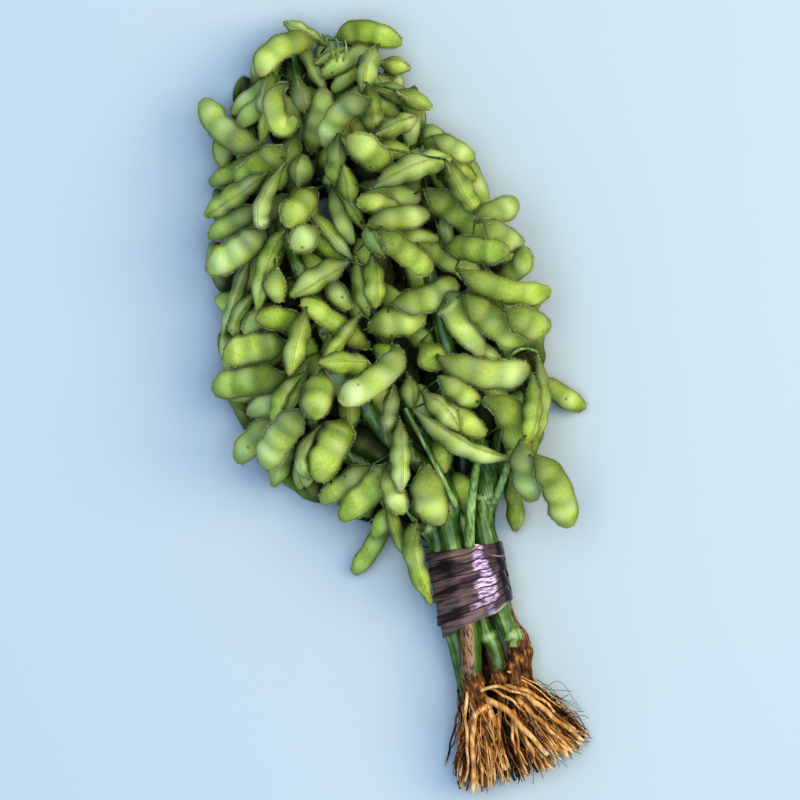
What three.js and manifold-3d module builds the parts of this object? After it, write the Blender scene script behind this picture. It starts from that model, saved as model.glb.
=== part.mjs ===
// A bunch of soybean plants, pulled up and stripped of leaves, tied at the foot with plastic tape.
// It lies on a level surface: +Z up, +Y from the roots towards the head of pods, millimetres.
// Seven plants, each one solid with its stalks and pods, seven brown root crowns and the tape.
import * as THREE from "three";
import { mergeVertices } from "three/addons/utils/BufferGeometryUtils.js";
import Module from "manifold-3d";

const wasm = await Module();
wasm.setup();

// Driving dimensions, in millimetres.
const GAP = 0.3; // air between neighbouring pieces
const STEM_R = 5.6; // radius of a stem where the tape holds it
const TAPE_WALL = 1.4; // how far out from the stems' clearance the tape reaches
const TAPE_TOP = 22.5; // the tape's ends on the bunch's axis
const TAPE_FOOT = -17;
const SUNK = 0.4; // how much of what touches the surface is pressed flat
const LOWEST_STEM = 12; // how far below the bunch's axis the lowest stem's middle is in the tape
const AXIS_Z = LOWEST_STEM + STEM_R + GAP + TAPE_WALL - SUNK; // height of the bunch's axis
const CROWN_Y = [-46, -34, -50, -46, -36, -48, -44]; // where each green stem turns to brown root
const ROOT_NECK_Y = -58; // where the rootlets start to fan out
const ROOT_END_Y = -110;

// The pods that show from above are laid out on a sheet ruled in steps of 0.54 mm, x to the right and
// y towards the roots. The tape's middle is TIE on that sheet, and the bunch leans LEAN degrees.
const STEP = 0.54;
const TIE = [472, 590];
const LEAN = (15 * Math.PI) / 180;

function fromSheet(x, y) {
  const dx = (x - TIE[0]) * STEP;
  const dy = (y - TIE[1]) * STEP;
  return [
    dx * Math.cos(LEAN) - dy * Math.sin(LEAN),
    -dx * Math.sin(LEAN) - dy * Math.cos(LEAN),
  ];
}

// The head of pods: its half width, the place of its middle and the height of its core along the bunch.
const HEAD_Y = [20, 40, 60, 80, 100, 143, 180, 210, 240, 270, 294, 318];
const HEAD_HALF = [28, 42, 58, 78, 86, 93, 84, 78, 69, 58, 50, 24];
const HEAD_MIDDLE = [0, 0, -3, -6, -12, -12, -12, -15, -17, -18, -13, -8];
const CORE_HEIGHT = [22, 28, 34, 40, 44, 45, 43, 39, 34, 27, 20, 12];

function along(y, values) {
  if (y <= HEAD_Y[0]) return values[0];
  for (let i = 1; i < HEAD_Y.length; i++)
    if (y <= HEAD_Y[i]) {
      const t = (y - HEAD_Y[i - 1]) / (HEAD_Y[i] - HEAD_Y[i - 1]);
      return values[i - 1] + t * (values[i] - values[i - 1]);
    }
  return values[values.length - 1];
}

// Height of the core under a point: a flattened dome.
function coreHeight(x, y) {
  const u = Math.abs(x - along(y, HEAD_MIDDLE)) / along(y, HEAD_HALF);
  const dome = Math.sqrt(Math.max(0, 1 - Math.min(1, u) ** 2.4));
  return 9 + (along(y, CORE_HEIGHT) - 9) * dome;
}

// Seeded random numbers from 0 to 1.
function randomFrom(seed) {
  let state = seed;
  return () => {
    state = (state + 0x6d2b79f5) >>> 0;
    let t = state;
    t = Math.imul(t ^ (t >>> 15), t | 1);
    t ^= t + Math.imul(t ^ (t >>> 7), t | 61);
    return ((t ^ (t >>> 14)) >>> 0) / 4294967296;
  };
}

// A point on the smooth curve through 2, 3 or 4 points, by Lagrange's formula.
function through(points, t) {
  const last = points.length - 1;
  const sum = [0, 0, 0];
  points.forEach((point, i) => {
    let weight = 1;
    for (let j = 0; j <= last; j++) if (j !== i) weight *= (t * last - j) / (i - j);
    for (let c = 0; c < 3; c++) sum[c] += weight * point[c];
  });
  return sum;
}

// Where each stem stands in the tape, [x, z] off the bunch's axis: six in a ring round one.
const PACK = [[-6, 11.5], [13, 7.5], [-14.6, 3], [2, 0.6], [14.2, -5], [-9, -8.5], [3, -LOWEST_STEM]];

// How far each has strayed from there by the time it turns to root.
const STRAY = [[-3, 0], [1.5, 1], [-2.4, 0], [2.5, 1.9], [3, 2], [0, 0], [0, 0]];
const crownAt = (k) => [PACK[k][0] + STRAY[k][0], PACK[k][1] + STRAY[k][1]];

// The tied part leans a little across the bunch: the place of its axis at each y.
const axisX = (y) => 0.3 + 0.07 * y;

// The stems' routes from the tape up through the head: [x, y, z, radius].
const STEM_ROUTES = [
  [[-1, 58, 35, 5.2], [-28, 105, 42, 4.8], [-44, 180, 42, 3.8], [-52, 245, 30, 2.6], [-50, 280, 22, 1.6]],
  [[25, 60, 31, 5.2], [20, 105, 41, 4.8], [22, 180, 42, 3.8], [14, 245, 32, 2.6], [6, 290, 22, 1.6]],
  [[-24, 60, 23, 5.2], [-56, 105, 26, 4.6], [-70, 170, 26, 3.6], [-68, 225, 22, 2.4], [-66, 258, 17, 1.5]],
  [[4, 60, 20, 5.2], [-8, 105, 27, 5], [-14, 190, 28, 4], [-20, 270, 20, 2.8], [-18, 312, 12, 1.4]],
  [[31, 62, 18, 5.2], [48, 105, 24, 4.6], [52, 160, 27, 3.6], [40, 215, 24, 2.4], [24, 249, 17, 1.7]],
  [[-16, 60, 11.5, 5.2], [-34, 105, 14, 4.6], [-44, 150, 14, 3.6], [-44, 200, 14, 2.4], [-44, 240, 13, 1.5]],
  [[12, 60, 9, 5.2], [22, 105, 13, 4.6], [24, 150, 14, 3.6], [14, 200, 14, 2.4], [8, 240, 13, 1.5]],
];

// The pods laid out by hand on the sheet: [beans, face, layer, width in steps, x, y of the base, then of
// one or two points on a bend, then of the tip]. Face F lies flat, S stands on its seam and E points
// up. Layer 0 lies on top of layer 1, and that on layer 2.
const LAID_PODS = [
  // the tip of the head
  [2, "S", 0, 16, 318, 38, 283, 18],
  [3, "F", 0, 24, 318, 40, 280, 46, 256, 75],
  [2, "F", 2, 18, 268, 80, 228, 109],
  [2, "F", 2, 20, 264, 98, 233, 124],
  [3, "F", 0, 25, 262, 148, 225, 130, 206, 95],
  [2, "S", 1, 14, 274, 73, 264, 95, 268, 113],
  [2, "S", 1, 14, 270, 112, 260, 143],
  [2, "F", 0, 22, 291, 85, 273, 103, 280, 126, 299, 118],
  [1, "S", 0, 18, 298, 83, 304, 111],
  [2, "S", 1, 14, 309, 58, 325, 90],
  [3, "F", 0, 22, 310, 152, 328, 88],
  [1, "S", 1, 14, 343, 50, 316, 61],
  [2, "F", 1, 18, 356, 54, 321, 72],
  [2, "F", 2, 18, 350, 70, 330, 88],
  [3, "F", 0, 22, 335, 37, 365, 30, 399, 46],
  [1, "S", 0, 17, 378, 60, 411, 64],
  [2, "S", 0, 20, 374, 53, 362, 93],
  [2, "F", 1, 20, 368, 90, 343, 108],
  [2, "S", 0, 22, 368, 89, 375, 136],
  [2, "F", 1, 20, 378, 94, 395, 117],
  [2, "S", 1, 20, 378, 91, 402, 95, 417, 116],
  [1, "S", 1, 17, 408, 97, 433, 108],
  [2, "S", 0, 20, 381, 135, 418, 117],
  [2, "F", 2, 18, 412, 112, 408, 146],
  [3, "F", 0, 24, 372, 104, 342, 118, 324, 149],
  [2, "S", 0, 20, 338, 142, 334, 186],
  [2, "F", 0, 28, 393, 172, 352, 137],
  [1, "S", 1, 19, 384, 149, 410, 150],
  [2, "F", 0, 22, 441, 160, 430, 121],
  [2, "F", 0, 20, 445, 144, 474, 160],
  [1, "F", 1, 18, 455, 165, 474, 180],
  [2, "F", 2, 18, 474, 178, 485, 206],
  // the left side
  [1, "F", 1, 19, 222, 137, 218, 165],
  [2, "F", 2, 18, 238, 165, 206, 179],
  [3, "F", 0, 27, 284, 150, 236, 187],
  [3, "S", 0, 22, 270, 173, 203, 217],
  [2, "F", 1, 20, 250, 212, 206, 235],
  [3, "F", 2, 24, 265, 212, 221, 246],
  [3, "F", 0, 28, 264, 228, 240, 252, 205, 266],
  [3, "S", 0, 17, 288, 163, 263, 208, 268, 229],
  [2, "F", 1, 20, 288, 150, 272, 188],
  [2, "F", 1, 24, 258, 268, 232, 288],
  [3, "S", 0, 20, 288, 228, 268, 262, 258, 313],
  [1, "F", 0, 20, 276, 267, 277, 303],
  [3, "S", 1, 14, 238, 290, 221, 336],
  [2, "S", 1, 14, 253, 298, 236, 318, 243, 339],
  [1, "F", 1, 20, 258, 318, 242, 332],
  [2, "F", 0, 22, 292, 324, 258, 315],
  [3, "F", 0, 28, 288, 345, 222, 354],
  [2, "F", 2, 20, 272, 352, 238, 378],
  [3, "F", 0, 28, 287, 376, 210, 386],
  [3, "F", 1, 20, 286, 382, 225, 396],
  [2, "F", 1, 22, 287, 393, 245, 411],
  [3, "S", 0, 15, 306, 372, 280, 400, 282, 429],
  [2, "S", 1, 14, 300, 378, 285, 417],
  [2, "F", 1, 24, 272, 424, 234, 461],
  [3, "F", 0, 29, 303, 409, 261, 465],
  [2, "S", 1, 20, 284, 455, 270, 489],
  [1, "F", 2, 14, 302, 460, 296, 489],
  [1, "F", 2, 14, 306, 470, 303, 487],
  // the middle, from the tip down
  [1, "S", 0, 24, 298, 190, 303, 153],
  [2, "F", 0, 27, 311, 195, 284, 226],
  [1, "E", 0, 26, 320, 230, 290, 246],
  [3, "S", 1, 14, 311, 212, 352, 260],
  [2, "S", 0, 24, 350, 262, 322, 276, 290, 298],
  [1, "S", 0, 18, 352, 204, 345, 171],
  [2, "S", 1, 14, 350, 203, 364, 229],
  [2, "F", 2, 18, 340, 212, 350, 245],
  [2, "F", 2, 18, 320, 240, 345, 262],
  [1, "F", 1, 18, 333, 288, 348, 311],
  [3, "F", 1, 20, 356, 338, 303, 297],
  [2, "S", 0, 22, 306, 308, 290, 374],
  [2, "F", 0, 28, 322, 372, 313, 419],
  [2, "F", 1, 20, 332, 370, 335, 397],
  [2, "S", 0, 22, 366, 366, 322, 362],
  [2, "S", 1, 14, 340, 341, 322, 366],
  [3, "F", 0, 27, 392, 345, 388, 368, 362, 388, 338, 397],
  [1, "S", 1, 20, 350, 398, 349, 431],
  [3, "F", 0, 31, 345, 420, 335, 442, 313, 479],
  [2, "S", 1, 14, 312, 440, 302, 456, 312, 480],
  [2, "F", 1, 22, 352, 478, 318, 500],
  [3, "F", 0, 27, 390, 462, 376, 486, 337, 517],
  [2, "F", 0, 20, 384, 470, 400, 515],
  [2, "S", 0, 16, 392, 395, 386, 435],
  [3, "S", 0, 20, 400, 418, 401, 493],
  [2, "F", 0, 32, 424, 464, 436, 527],
  [1, "S", 1, 20, 440, 447, 446, 473],
  [1, "S", 0, 18, 408, 374, 412, 408],
  [1, "E", 0, 28, 422, 342, 441, 371],
  [2, "F", 0, 30, 367, 329, 427, 320],
  [3, "F", 0, 27, 391, 304, 428, 298, 458, 281],
  [2, "S", 0, 22, 372, 254, 376, 309],
  [2, "S", 1, 18, 359, 273, 369, 317],
  [1, "S", 0, 20, 365, 228, 383, 254],
  [2, "F", 0, 21, 396, 214, 359, 198],
  [2, "F", 0, 23, 368, 226, 430, 216],
  [2, "F", 1, 18, 400, 232, 438, 243],
  [3, "F", 0, 20, 415, 244, 450, 262, 478, 277],
  [3, "F", 0, 24, 386, 240, 431, 274],
  [1, "S", 1, 14, 444, 221, 450, 251],
  [3, "S", 0, 26, 372, 192, 412, 170, 453, 159],
  [2, "F", 1, 24, 378, 190, 420, 203],
  [3, "F", 0, 26, 424, 190, 445, 207, 465, 222, 495, 246],
  [3, "S", 0, 21, 447, 167, 479, 217],
  [3, "F", 0, 28, 436, 357, 485, 374, 531, 371],
  [1, "S", 1, 20, 488, 384, 508, 400],
  [1, "S", 1, 14, 478, 346, 503, 363],
  [2, "F", 0, 20, 438, 377, 478, 406],
  [2, "S", 0, 22, 421, 391, 460, 430],
  [2, "F", 1, 22, 455, 410, 483, 438],
  [2, "F", 0, 28, 445, 299, 456, 311, 480, 358],
  [3, "F", 0, 29, 463, 296, 525, 345],
  [2, "F", 0, 30, 480, 402, 508, 412, 518, 435, 510, 458],
  [3, "S", 0, 19, 412, 409, 442, 434, 472, 451, 511, 457],
  // the right side
  [2, "F", 0, 24, 480, 221, 519, 204],
  [2, "F", 0, 23, 488, 228, 521, 250],
  [2, "F", 0, 22, 495, 278, 518, 270, 526, 249],
  [3, "F", 0, 24, 455, 250, 507, 257],
  [3, "F", 0, 23, 455, 270, 505, 294, 551, 294],
  [3, "F", 1, 20, 485, 300, 541, 307],
  [2, "F", 0, 28, 503, 311, 548, 332],
  [2, "F", 1, 20, 543, 384, 586, 411],
  [3, "S", 0, 15, 536, 352, 543, 400, 533, 443],
  [3, "S", 0, 18, 531, 374, 533, 410, 525, 447],
  [2, "F", 0, 28, 519, 440, 528, 502],
  [3, "F", 0, 28, 532, 455, 556, 490, 563, 528],
  [2, "S", 1, 18, 508, 468, 516, 505, 517, 535],
  // hanging over the stems near the tape
  [3, "S", 0, 20, 417, 521, 413, 552, 432, 608],
  [3, "F", 2, 18, 388, 506, 376, 545, 350, 574],
  [1, "F", 2, 14, 389, 510, 371, 537],
  [2, "S", 2, 14, 390, 512, 408, 560],
];

// A pod's natural length by its count of beans, in millimetres.
const POD_LENGTH = [0, 27, 41, 54];

const { clamp } = THREE.MathUtils;
const UP = [0, 0, 1];
const add = (a, b, s = 1) => [a[0] + b[0] * s, a[1] + b[1] * s, a[2] + b[2] * s];
const dot = (a, b) => a[0] * b[0] + a[1] * b[1] + a[2] * b[2];
const cross = (a, b) => [
  a[1] * b[2] - a[2] * b[1],
  a[2] * b[0] - a[0] * b[2],
  a[0] * b[1] - a[1] * b[0],
];
const unit = (a) => add([0, 0, 0], a, 1 / Math.hypot(...a));
const away = (a, b) => Math.hypot(a[0] - b[0], a[1] - b[1], a[2] - b[2]);

// A pod before it is placed: its curve, the half width of its flat side, its half thickness and the
// direction that its flat side faces. A pod on its seam shows its thickness from above, about 0.6 of
// its flat side, and a flat one shows its flat side.
const LEAST_BROAD = 5;
const BROAD_ON_SEAM = [5.8, 7.6];
const LEAST_THIN_ON_SEAM = 3.9;
const THIN = [4.2, 5.6];

function podOf(beans, face, points, width, roll) {
  const standing = face === "S";
  const broad = standing ? clamp(width * 0.62, ...BROAD_ON_SEAM) : Math.max(LEAST_BROAD, width / 2);
  const thin = standing ? Math.max(LEAST_THIN_ON_SEAM, width / 2) : clamp(width * 0.37, ...THIN);
  const tip = points[points.length - 1];
  const side = cross(UP, unit([tip[0] - points[0][0], tip[1] - points[0][1], 0]));
  const turn = (standing ? Math.PI / 2 : 0) + roll;
  const normal = add(add([0, 0, 0], UP, Math.cos(turn)), side, Math.sin(turn));
  return { beans, face, points, broad, thin, normal, covered: false, stalk: null, plant: -1 };
}

// The pod's samples: [x, y, z, horizontal radius, vertical radius] along its curve.
function samplesOf(pod) {
  const count = 2 * pod.beans + 2;
  const flat = pod.face !== "S";
  return Array.from({ length: count }, (_, i) => {
    const t = (i + 0.5) / count;
    const size = Math.min(1, Math.sin(Math.PI * Math.min(0.5, 0.1 + 1.6 * Math.min(t, 1 - t))));
    const [x, y, z] = through(pod.points, t);
    const wide = (flat ? pod.broad : pod.thin) * size;
    const tall = (flat ? pod.thin : pod.broad) * size;
    return [x, y, z, wide, tall];
  });
}

// How far each of a pod's samples must rise to clear the core and what is placed, as flattened balls.
function risesOver(samples, placed) {
  return samples.map(([x, y, z, wide, tall]) => {
    let rise = Math.max(coreHeight(x, y), tall + 0.5) - z;
    for (const [px, py, pz, pwide, ptall] of placed) {
      const near = Math.hypot(x - px, y - py) / (wide + pwide + GAP);
      if (near >= 1) continue;
      rise = Math.max(rise, pz + (tall + ptall + GAP) * Math.sqrt(1 - near * near) - z);
    }
    return rise;
  });
}

// The lowest way for a pod to lean on what is under it: it rises by lift at the base and by
// lift + lean at the tip.
const MOST_LEAN = 26;
const LEAN_STEPS = 8;

function settle(pod, placed) {
  const samples = samplesOf(pod);
  const rises = risesOver(samples, placed);
  let best = null;
  for (let i = -LEAN_STEPS; i <= LEAN_STEPS; i++) {
    const lean = (MOST_LEAN * i) / LEAN_STEPS;
    const lift = Math.max(...rises.map((r, k) => r - (lean * (k + 0.5)) / rises.length));
    const cost = lift + lean / 2 + Math.abs(lean) * 0.04;
    if (!best || cost < best.cost) best = { lift, lean, cost };
  }
  const last = pod.points.length - 1;
  pod.points = pod.points.map((p, i) => add(p, UP, best.lift + (best.lean * i) / last));
  return samplesOf(pod);
}

function isClear(samples, placed) {
  return samples.every(([x, y, z, wide, tall]) =>
    placed.every(([px, py, pz, pwide, ptall]) => {
      const across = Math.hypot(x - px, y - py) / (wide + pwide + GAP);
      const up = (z - pz) / (tall + ptall + GAP);
      return across * across + up * up >= 1;
    }),
  );
}

// A pod of the hand-laid list, resting on what lies under it. Where the list shows less of it than this
// share of its natural length, by its layer, its base runs on under its neighbours.
const LEAST_LENGTH = [0.65, 0.85, 0.85];
const DIP = 14; // how far a pod that points up comes from below
const ROLL = { F: 0.6, S: 0.9, E: 0.6 }; // the range, in radians, of a pod's roll about its length

function layPod(row, placed, random) {
  const [beans, face, layer, width, ...sheet] = row;
  const points = [];
  for (let i = 0; i < sheet.length; i += 2) points.push(fromSheet(sheet[i], sheet[i + 1]));
  let length = 0;
  for (let i = 1; i < points.length; i++)
    length += Math.hypot(points[i][0] - points[i - 1][0], points[i][1] - points[i - 1][1]);
  const short = POD_LENGTH[beans] * LEAST_LENGTH[layer] - length;
  if (short > 0 && face !== "E") {
    const [a, b] = points;
    const reach = Math.hypot(a[0] - b[0], a[1] - b[1]);
    points[0] = [a[0] + ((a[0] - b[0]) * short) / reach, a[1] + ((a[1] - b[1]) * short) / reach];
  }
  const dip = face === "E" ? DIP : 0;
  const rows = points.map(([x, y], i) => [x, y, i ? 0 : -dip]);
  const pod = podOf(beans, face, rows, width * STEP, (random() - 0.5) * ROLL[face]);
  pod.covered = layer === 2;
  placed.push(...settle(pod, placed));
  return pod;
}

// Pods that nothing shows from above: under the head, up its flanks and round its core. Each zone is
// [pods, tries, height, least and most share of the half width, first and last y].
const HIDDEN_ZONES = [
  [34, 2000, 0, 0, 0.9, 58, 304],
  [14, 1500, 19, 0.6, 0.92, 56, 296],
  [6, 1000, 32, 0, 0.7, 60, 300],
];

// Whether a pod keeps inside the head's outline.
const HEAD_END = 318;
function isInside(samples) {
  return samples.every(
    ([x, y, , wide]) =>
      y + wide < HEAD_END && Math.abs(x - along(y, HEAD_MIDDLE)) + wide < along(y, HEAD_HALF) + 2,
  );
}

function scatterPods([wanted, tries, height, inner, outer, first, last], placed, random) {
  const made = [];
  for (let i = 0; i < tries && made.length < wanted; i++) {
    const y = first + (last - first) * random();
    const share = (inner + (outer - inner) * random()) * (random() < 0.5 ? -1 : 1);
    const x = along(y, HEAD_MIDDLE) + share * along(y, HEAD_HALF);
    const turn = share * 0.7 + (random() - 0.5) * 1.6;
    const beans = [1, 2, 2, 3, 3][Math.floor(random() * 5)];
    const half = (POD_LENGTH[beans] * (0.82 + 0.14 * random())) / 2;
    const bow = (random() - 0.5) * 0.3 * half;
    const tilt = height ? (random() - 0.4) * 10 : 0;
    const dir = [Math.sin(turn), Math.cos(turn), 0];
    const side = [dir[1], -dir[0], 0];
    const width = 12 + 2.4 * random();
    const middle = [x, y, height];
    const rows = [
      add(add(middle, dir, -half), UP, -tilt / 2),
      add(middle, side, bow),
      add(add(middle, dir, half), UP, tilt / 2),
    ];
    const pod = podOf(beans, "F", rows, width, (random() - 0.5) * (height ? 0.9 : 0.2));
    if (!height) pod.points = pod.points.map((p) => add(p, UP, pod.thin * 0.87 - 0.4));
    const samples = samplesOf(pod);
    if (!isInside(samples) || !isClear(samples, placed)) continue;
    placed.push(...samples);
    pod.covered = true;
    made.push(pod);
  }
  return made;
}

// Each pod's stalk runs back from its base to a stem, or to a pod that has a stalk, whichever it can
// reach without touching another plant.
const STALK_R = 1.5;
const STALK_FLARE = 1.2; // how much wider a stalk is where it meets its pod
const CLUSTER_COST = 8; // a stalk prefers a stem to another pod by about this distance
const LOOKOUT = 5; // how far behind a pod's base its stalk is looked for from
const TARGETS = 60; // how many of the nearest places are tried

function inReach(q, radius, at) {
  const across = Math.hypot(q[0] - at[0], q[1] - at[1]) / (at[3] + radius + GAP);
  const up = (q[2] - at[2]) / (at[4] + radius + GAP);
  return across * across + up * up < 1;
}

// The pods with no plant yet that a stalk meets, or null where it would touch another plant.
function metBy(stalk, pod, plant, parts, mayMeet) {
  const met = new Set();
  for (const [x, y, z, radius] of stalk) {
    if (z < STALK_R) return null;
    for (const p of parts) {
      if (p.pod === pod || p.plant === plant || !inReach([x, y, z], radius, p.at)) continue;
      if (!mayMeet || p.plant >= 0) return null;
      met.add(p.pod);
    }
  }
  return met;
}

const STALK_SAMPLES = 8;

function stalkFrom(from, pod) {
  return Array.from({ length: STALK_SAMPLES + 1 }, (_, i) => {
    const t = i / STALK_SAMPLES;
    const radius = STALK_R + STALK_FLARE * t;
    return [...add(from.slice(0, 3), add(pod.points[0], from, -1), t), radius, radius];
  });
}

function attachPods(pods, parts) {
  for (const pod of pods) {
    const samples = samplesOf(pod);
    const inner = (i) => i > 0 && i < samples.length - 1;
    pod.parts = samples.map((at, i) => ({ at, plant: -1, pod, stem: false, grip: inner(i) }));
    parts.push(...pod.parts);
  }
  const claim = (pod, plant) => {
    pod.plant = plant;
    for (const p of pod.parts) p.plant = plant;
  };
  const lookout = (pod) => add(pod.points[0], unit(add(pod.points[0], pod.points[1], -1)), LOOKOUT);
  const stemParts = parts.filter((p) => p.stem);
  const reach = new Map(
    pods.map((pod) => [pod, Math.min(...stemParts.map((p) => away(p.at, lookout(pod))))]),
  );
  const order = [...pods].sort((a, b) => reach.get(a) - reach.get(b));
  for (const mayMeet of [false, false, false, true, true, true])
    for (const pod of order.filter((p) => !p.stalk)) {
      const eye = lookout(pod);
      const held = (p) => p.grip && p.plant >= 0 && (p.stem || p.pod.stalk) && p.pod !== pod;
      const targets = parts
        .filter((p) => held(p) && (pod.plant < 0 || p.plant === pod.plant))
        .map((p) => [away(p.at, eye) * (p.stem ? 1 : 1.5) + (p.stem ? 0 : CLUSTER_COST), p])
        .sort((a, b) => a[0] - b[0])
        .slice(0, TARGETS);
      for (const [, target] of targets) {
        const stalk = stalkFrom(target.at, pod);
        const met = metBy(stalk, pod, target.plant, parts, mayMeet);
        if (!met) continue;
        for (const other of met) claim(other, target.plant);
        claim(pod, target.plant);
        pod.stalk = target.at.slice(0, 3);
        for (const at of stalk) parts.push({ at, plant: target.plant, pod, stem: false });
        break;
      }
    }
  return pods.filter((pod) => pod.stalk);
}

// A closed solid of round sections along a route: a lathe of the profile [size, t], bent so that the
// place, the half width and the half height at t come from the frame.
function bent(profile, sides, frameAt) {
  const points = profile.map(([size, t]) => new THREE.Vector2(size, t));
  const lathe = new THREE.LatheGeometry(points, sides, Math.PI / 2);
  lathe.deleteAttribute("normal");
  lathe.deleteAttribute("uv");
  const g = mergeVertices(lathe, 1e-5);
  const position = g.getAttribute("position");
  for (let i = 0; i < position.count; i++) {
    const { at, wide, tall, broad, thin } = frameAt(position.getY(i));
    const p = add(add(at, wide, position.getX(i) * broad), tall, position.getZ(i) * thin);
    position.setXYZ(i, ...p);
  }
  return solidFrom(g);
}

function solidFrom(g) {
  const index = g.index.array;
  const kept = [];
  for (let i = 0; i < index.length; i += 3) {
    const [a, b, c] = index.slice(i, i + 3);
    if (a !== b && b !== c && a !== c) kept.push(a, b, c);
  }
  const vertProperties = Float32Array.from(g.getAttribute("position").array);
  const made = (triVerts) =>
    new wasm.Manifold(new wasm.Mesh({ numProp: 3, vertProperties, triVerts }));
  const solid = made(Uint32Array.from(kept));
  return solid.volume() > 0 ? solid : made(Uint32Array.from(kept).reverse());
}

// Directions across a route: wide is square to the route and to the way the section faces.
function frameOf(at, ahead, normal, fallback) {
  const along = unit(add(ahead, at, -1));
  const facing = Math.abs(dot(along, normal)) > 0.93 ? fallback : normal;
  const tall = unit(add(facing, along, -dot(facing, along)));
  return { at, wide: cross(along, tall), tall };
}

// A direction square to one line, turned the least way that makes it square to another.
function carried(direction, from, to) {
  const sum = add(from, to);
  const share = dot(direction, to) / Math.max(0.1, 1 + dot(from, to));
  const turned = add(direction, sum, -share);
  return unit(add(turned, to, -dot(turned, to)));
}

const POD_RINGS = {
  1: [[0.42, 0.03], [1, 0.34], [0.88, 0.72], [0, 1]],
  2: [[0.42, 0.02], [1, 0.26], [0.8, 0.48], [0.94, 0.76], [0, 1]],
  3: [[0.42, 0.02], [1, 0.19], [0.82, 0.35], [1, 0.5], [0.82, 0.65], [0.92, 0.83], [0, 1]],
};

const POD_SIDES = 5;
const COVERED_SIDES = 4; // on pods that others cover

function podSolid(pod) {
  const profile = [[0, -1], [1, -0.85], ...POD_RINGS[pod.beans]];
  const [base] = pod.points;
  const ahead = through(pod.points, 0.02);
  const atBase = frameOf(base, ahead, pod.normal, UP);
  const line = unit(add(base, pod.stalk, -1));
  const tall = carried(atBase.tall, unit(add(ahead, base, -1)), line);
  const wide = cross(line, tall);
  return bent(profile, pod.covered ? COVERED_SIDES : POD_SIDES, (t) => {
    if (t < 0) {
      const at = add(base, add(pod.stalk, base, -1), -t);
      return { at, wide, tall, broad: STALK_R, thin: STALK_R };
    }
    const at = through(pod.points, Math.min(t, 0.98));
    const frame = frameOf(at, through(pod.points, Math.min(t, 0.98) + 0.02), pod.normal, UP);
    return { ...frame, at: through(pod.points, t), broad: pod.broad, thin: pod.thin };
  });
}

// A smooth route (a uniform Catmull-Rom spline) through [x, y, z, radius] points, t from 0 to 1.
function routeThrough(points) {
  const n = points.length - 1;
  const mirrored = (a, b) => a.map((v, i) => 2 * v - b[i]);
  const p = [mirrored(points[0], points[1]), ...points, mirrored(points[n], points[n - 1])];
  return (t) => {
    const i = Math.min(n - 1, Math.floor(t * n));
    const u = t * n - i;
    const weights = [
      -u / 2 + u * u - (u * u * u) / 2,
      1 - 2.5 * u * u + 1.5 * u * u * u,
      u / 2 + 2 * u * u - 1.5 * u * u * u,
      (u * u * u - u * u) / 2,
    ];
    return [0, 1, 2, 3].map((c) => weights.reduce((sum, w, k) => sum + w * p[i + k][c], 0));
  };
}

const stemRoutes = STEM_ROUTES.map((upper, k) => {
  const at = ([x, z], y) => [x + axisX(y), y, AXIS_Z + z, STEM_R];
  const low = [CROWN_Y[k], CROWN_Y[k] + 3].map((y) => at(crownAt(k), y));
  const tied = [-22, 16, 34].map((y) => at(PACK[k], y));
  return routeThrough([...low, ...tied, ...upper]);
});

const STEM_SIDES = 7;
const STEM_RINGS = 14;

function tube(route, sides, rings) {
  const profile = [[0, 0]];
  for (let i = 0; i <= rings; i++) profile.push([1, i / rings]);
  profile.push([0, 1]);
  return bent(profile, sides, (t) => {
    const [x, y, z, radius] = route(t);
    const ahead = t < 0.99 ? route(t + 0.01) : route(t).map((v, i) => 2 * v - route(t - 0.01)[i]);
    const frame = frameOf([x, y, z], ahead, UP, [1, 0, 0]);
    return { ...frame, broad: radius, thin: radius };
  });
}

// A brown root crown: the bark swells a little below the green stem, then thins into rootlets that fan
// out inside the plant's own share of the fan.
const FAN_ACROSS = 0.8; // how much wider the fan is at its end than the stems in the tape
const FAN_UP = 0.2;
const ROOTLETS = 5;
const ROOTLET_R = 1.7;

function rootSolid(k, random) {
  const [x, z] = crownAt(k);
  const top = CROWN_Y[k] - GAP;
  const foot = ROOT_NECK_Y - 4;
  const middle = (top + foot) / 2;
  let solid = tube(
    routeThrough([
      [x + axisX(top), top, AXIS_Z + z, STEM_R],
      [x + axisX(middle), middle, AXIS_Z + z, STEM_R],
      [x * 1.05 + axisX(foot), foot, AXIS_Z + z, STEM_R * 0.8],
      [x * 1.1 + axisX(foot), foot - 8, AXIS_Z + z, STEM_R * 0.35],
    ]),
    STEM_SIDES,
    4,
  );
  for (let i = 0; i < ROOTLETS; i++) {
    const angle = (2 * Math.PI * (i + random() * 0.6)) / ROOTLETS;
    const spread = 0.45 + 0.5 * random();
    const end = (ROOT_END_Y - ROOT_NECK_Y) * (0.72 + 0.28 * random());
    const bend = (random() - 0.5) * 0.5;
    const points = [0, 0.25, 0.6, 1].map((s) => {
      const reach = 4.3 * Math.min(1, 0.35 + spread * s * 1.2) * (s ? 1 : 0.5);
      const turn = angle + bend * s;
      return [
        (x + reach * Math.cos(turn)) * (1 + FAN_ACROSS * s * s) + axisX(ROOT_NECK_Y) * (1 - s),
        ROOT_NECK_Y + 3 + end * s,
        AXIS_Z + (z + 0.85 * reach * Math.sin(turn)) * (1 + FAN_UP * s),
        ROOTLET_R * (1 - 0.55 * s),
      ];
    });
    solid = solid.add(tube(routeThrough(points), 3, 4));
  }
  return solid;
}

// The tape: a thin sleeve of overlapping slanted turns, pulled tight round the stems.
const TAPE_TURNS = 4;
const TAPE_LAP = 0.4; // how far a turn's edge stands proud of the next
const TAPE_EASE = 0.3; // keeps the flat sides of the ring off the stems' round edges
const TAPE_SIDES = 32;
const FACINGS = 360;

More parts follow.
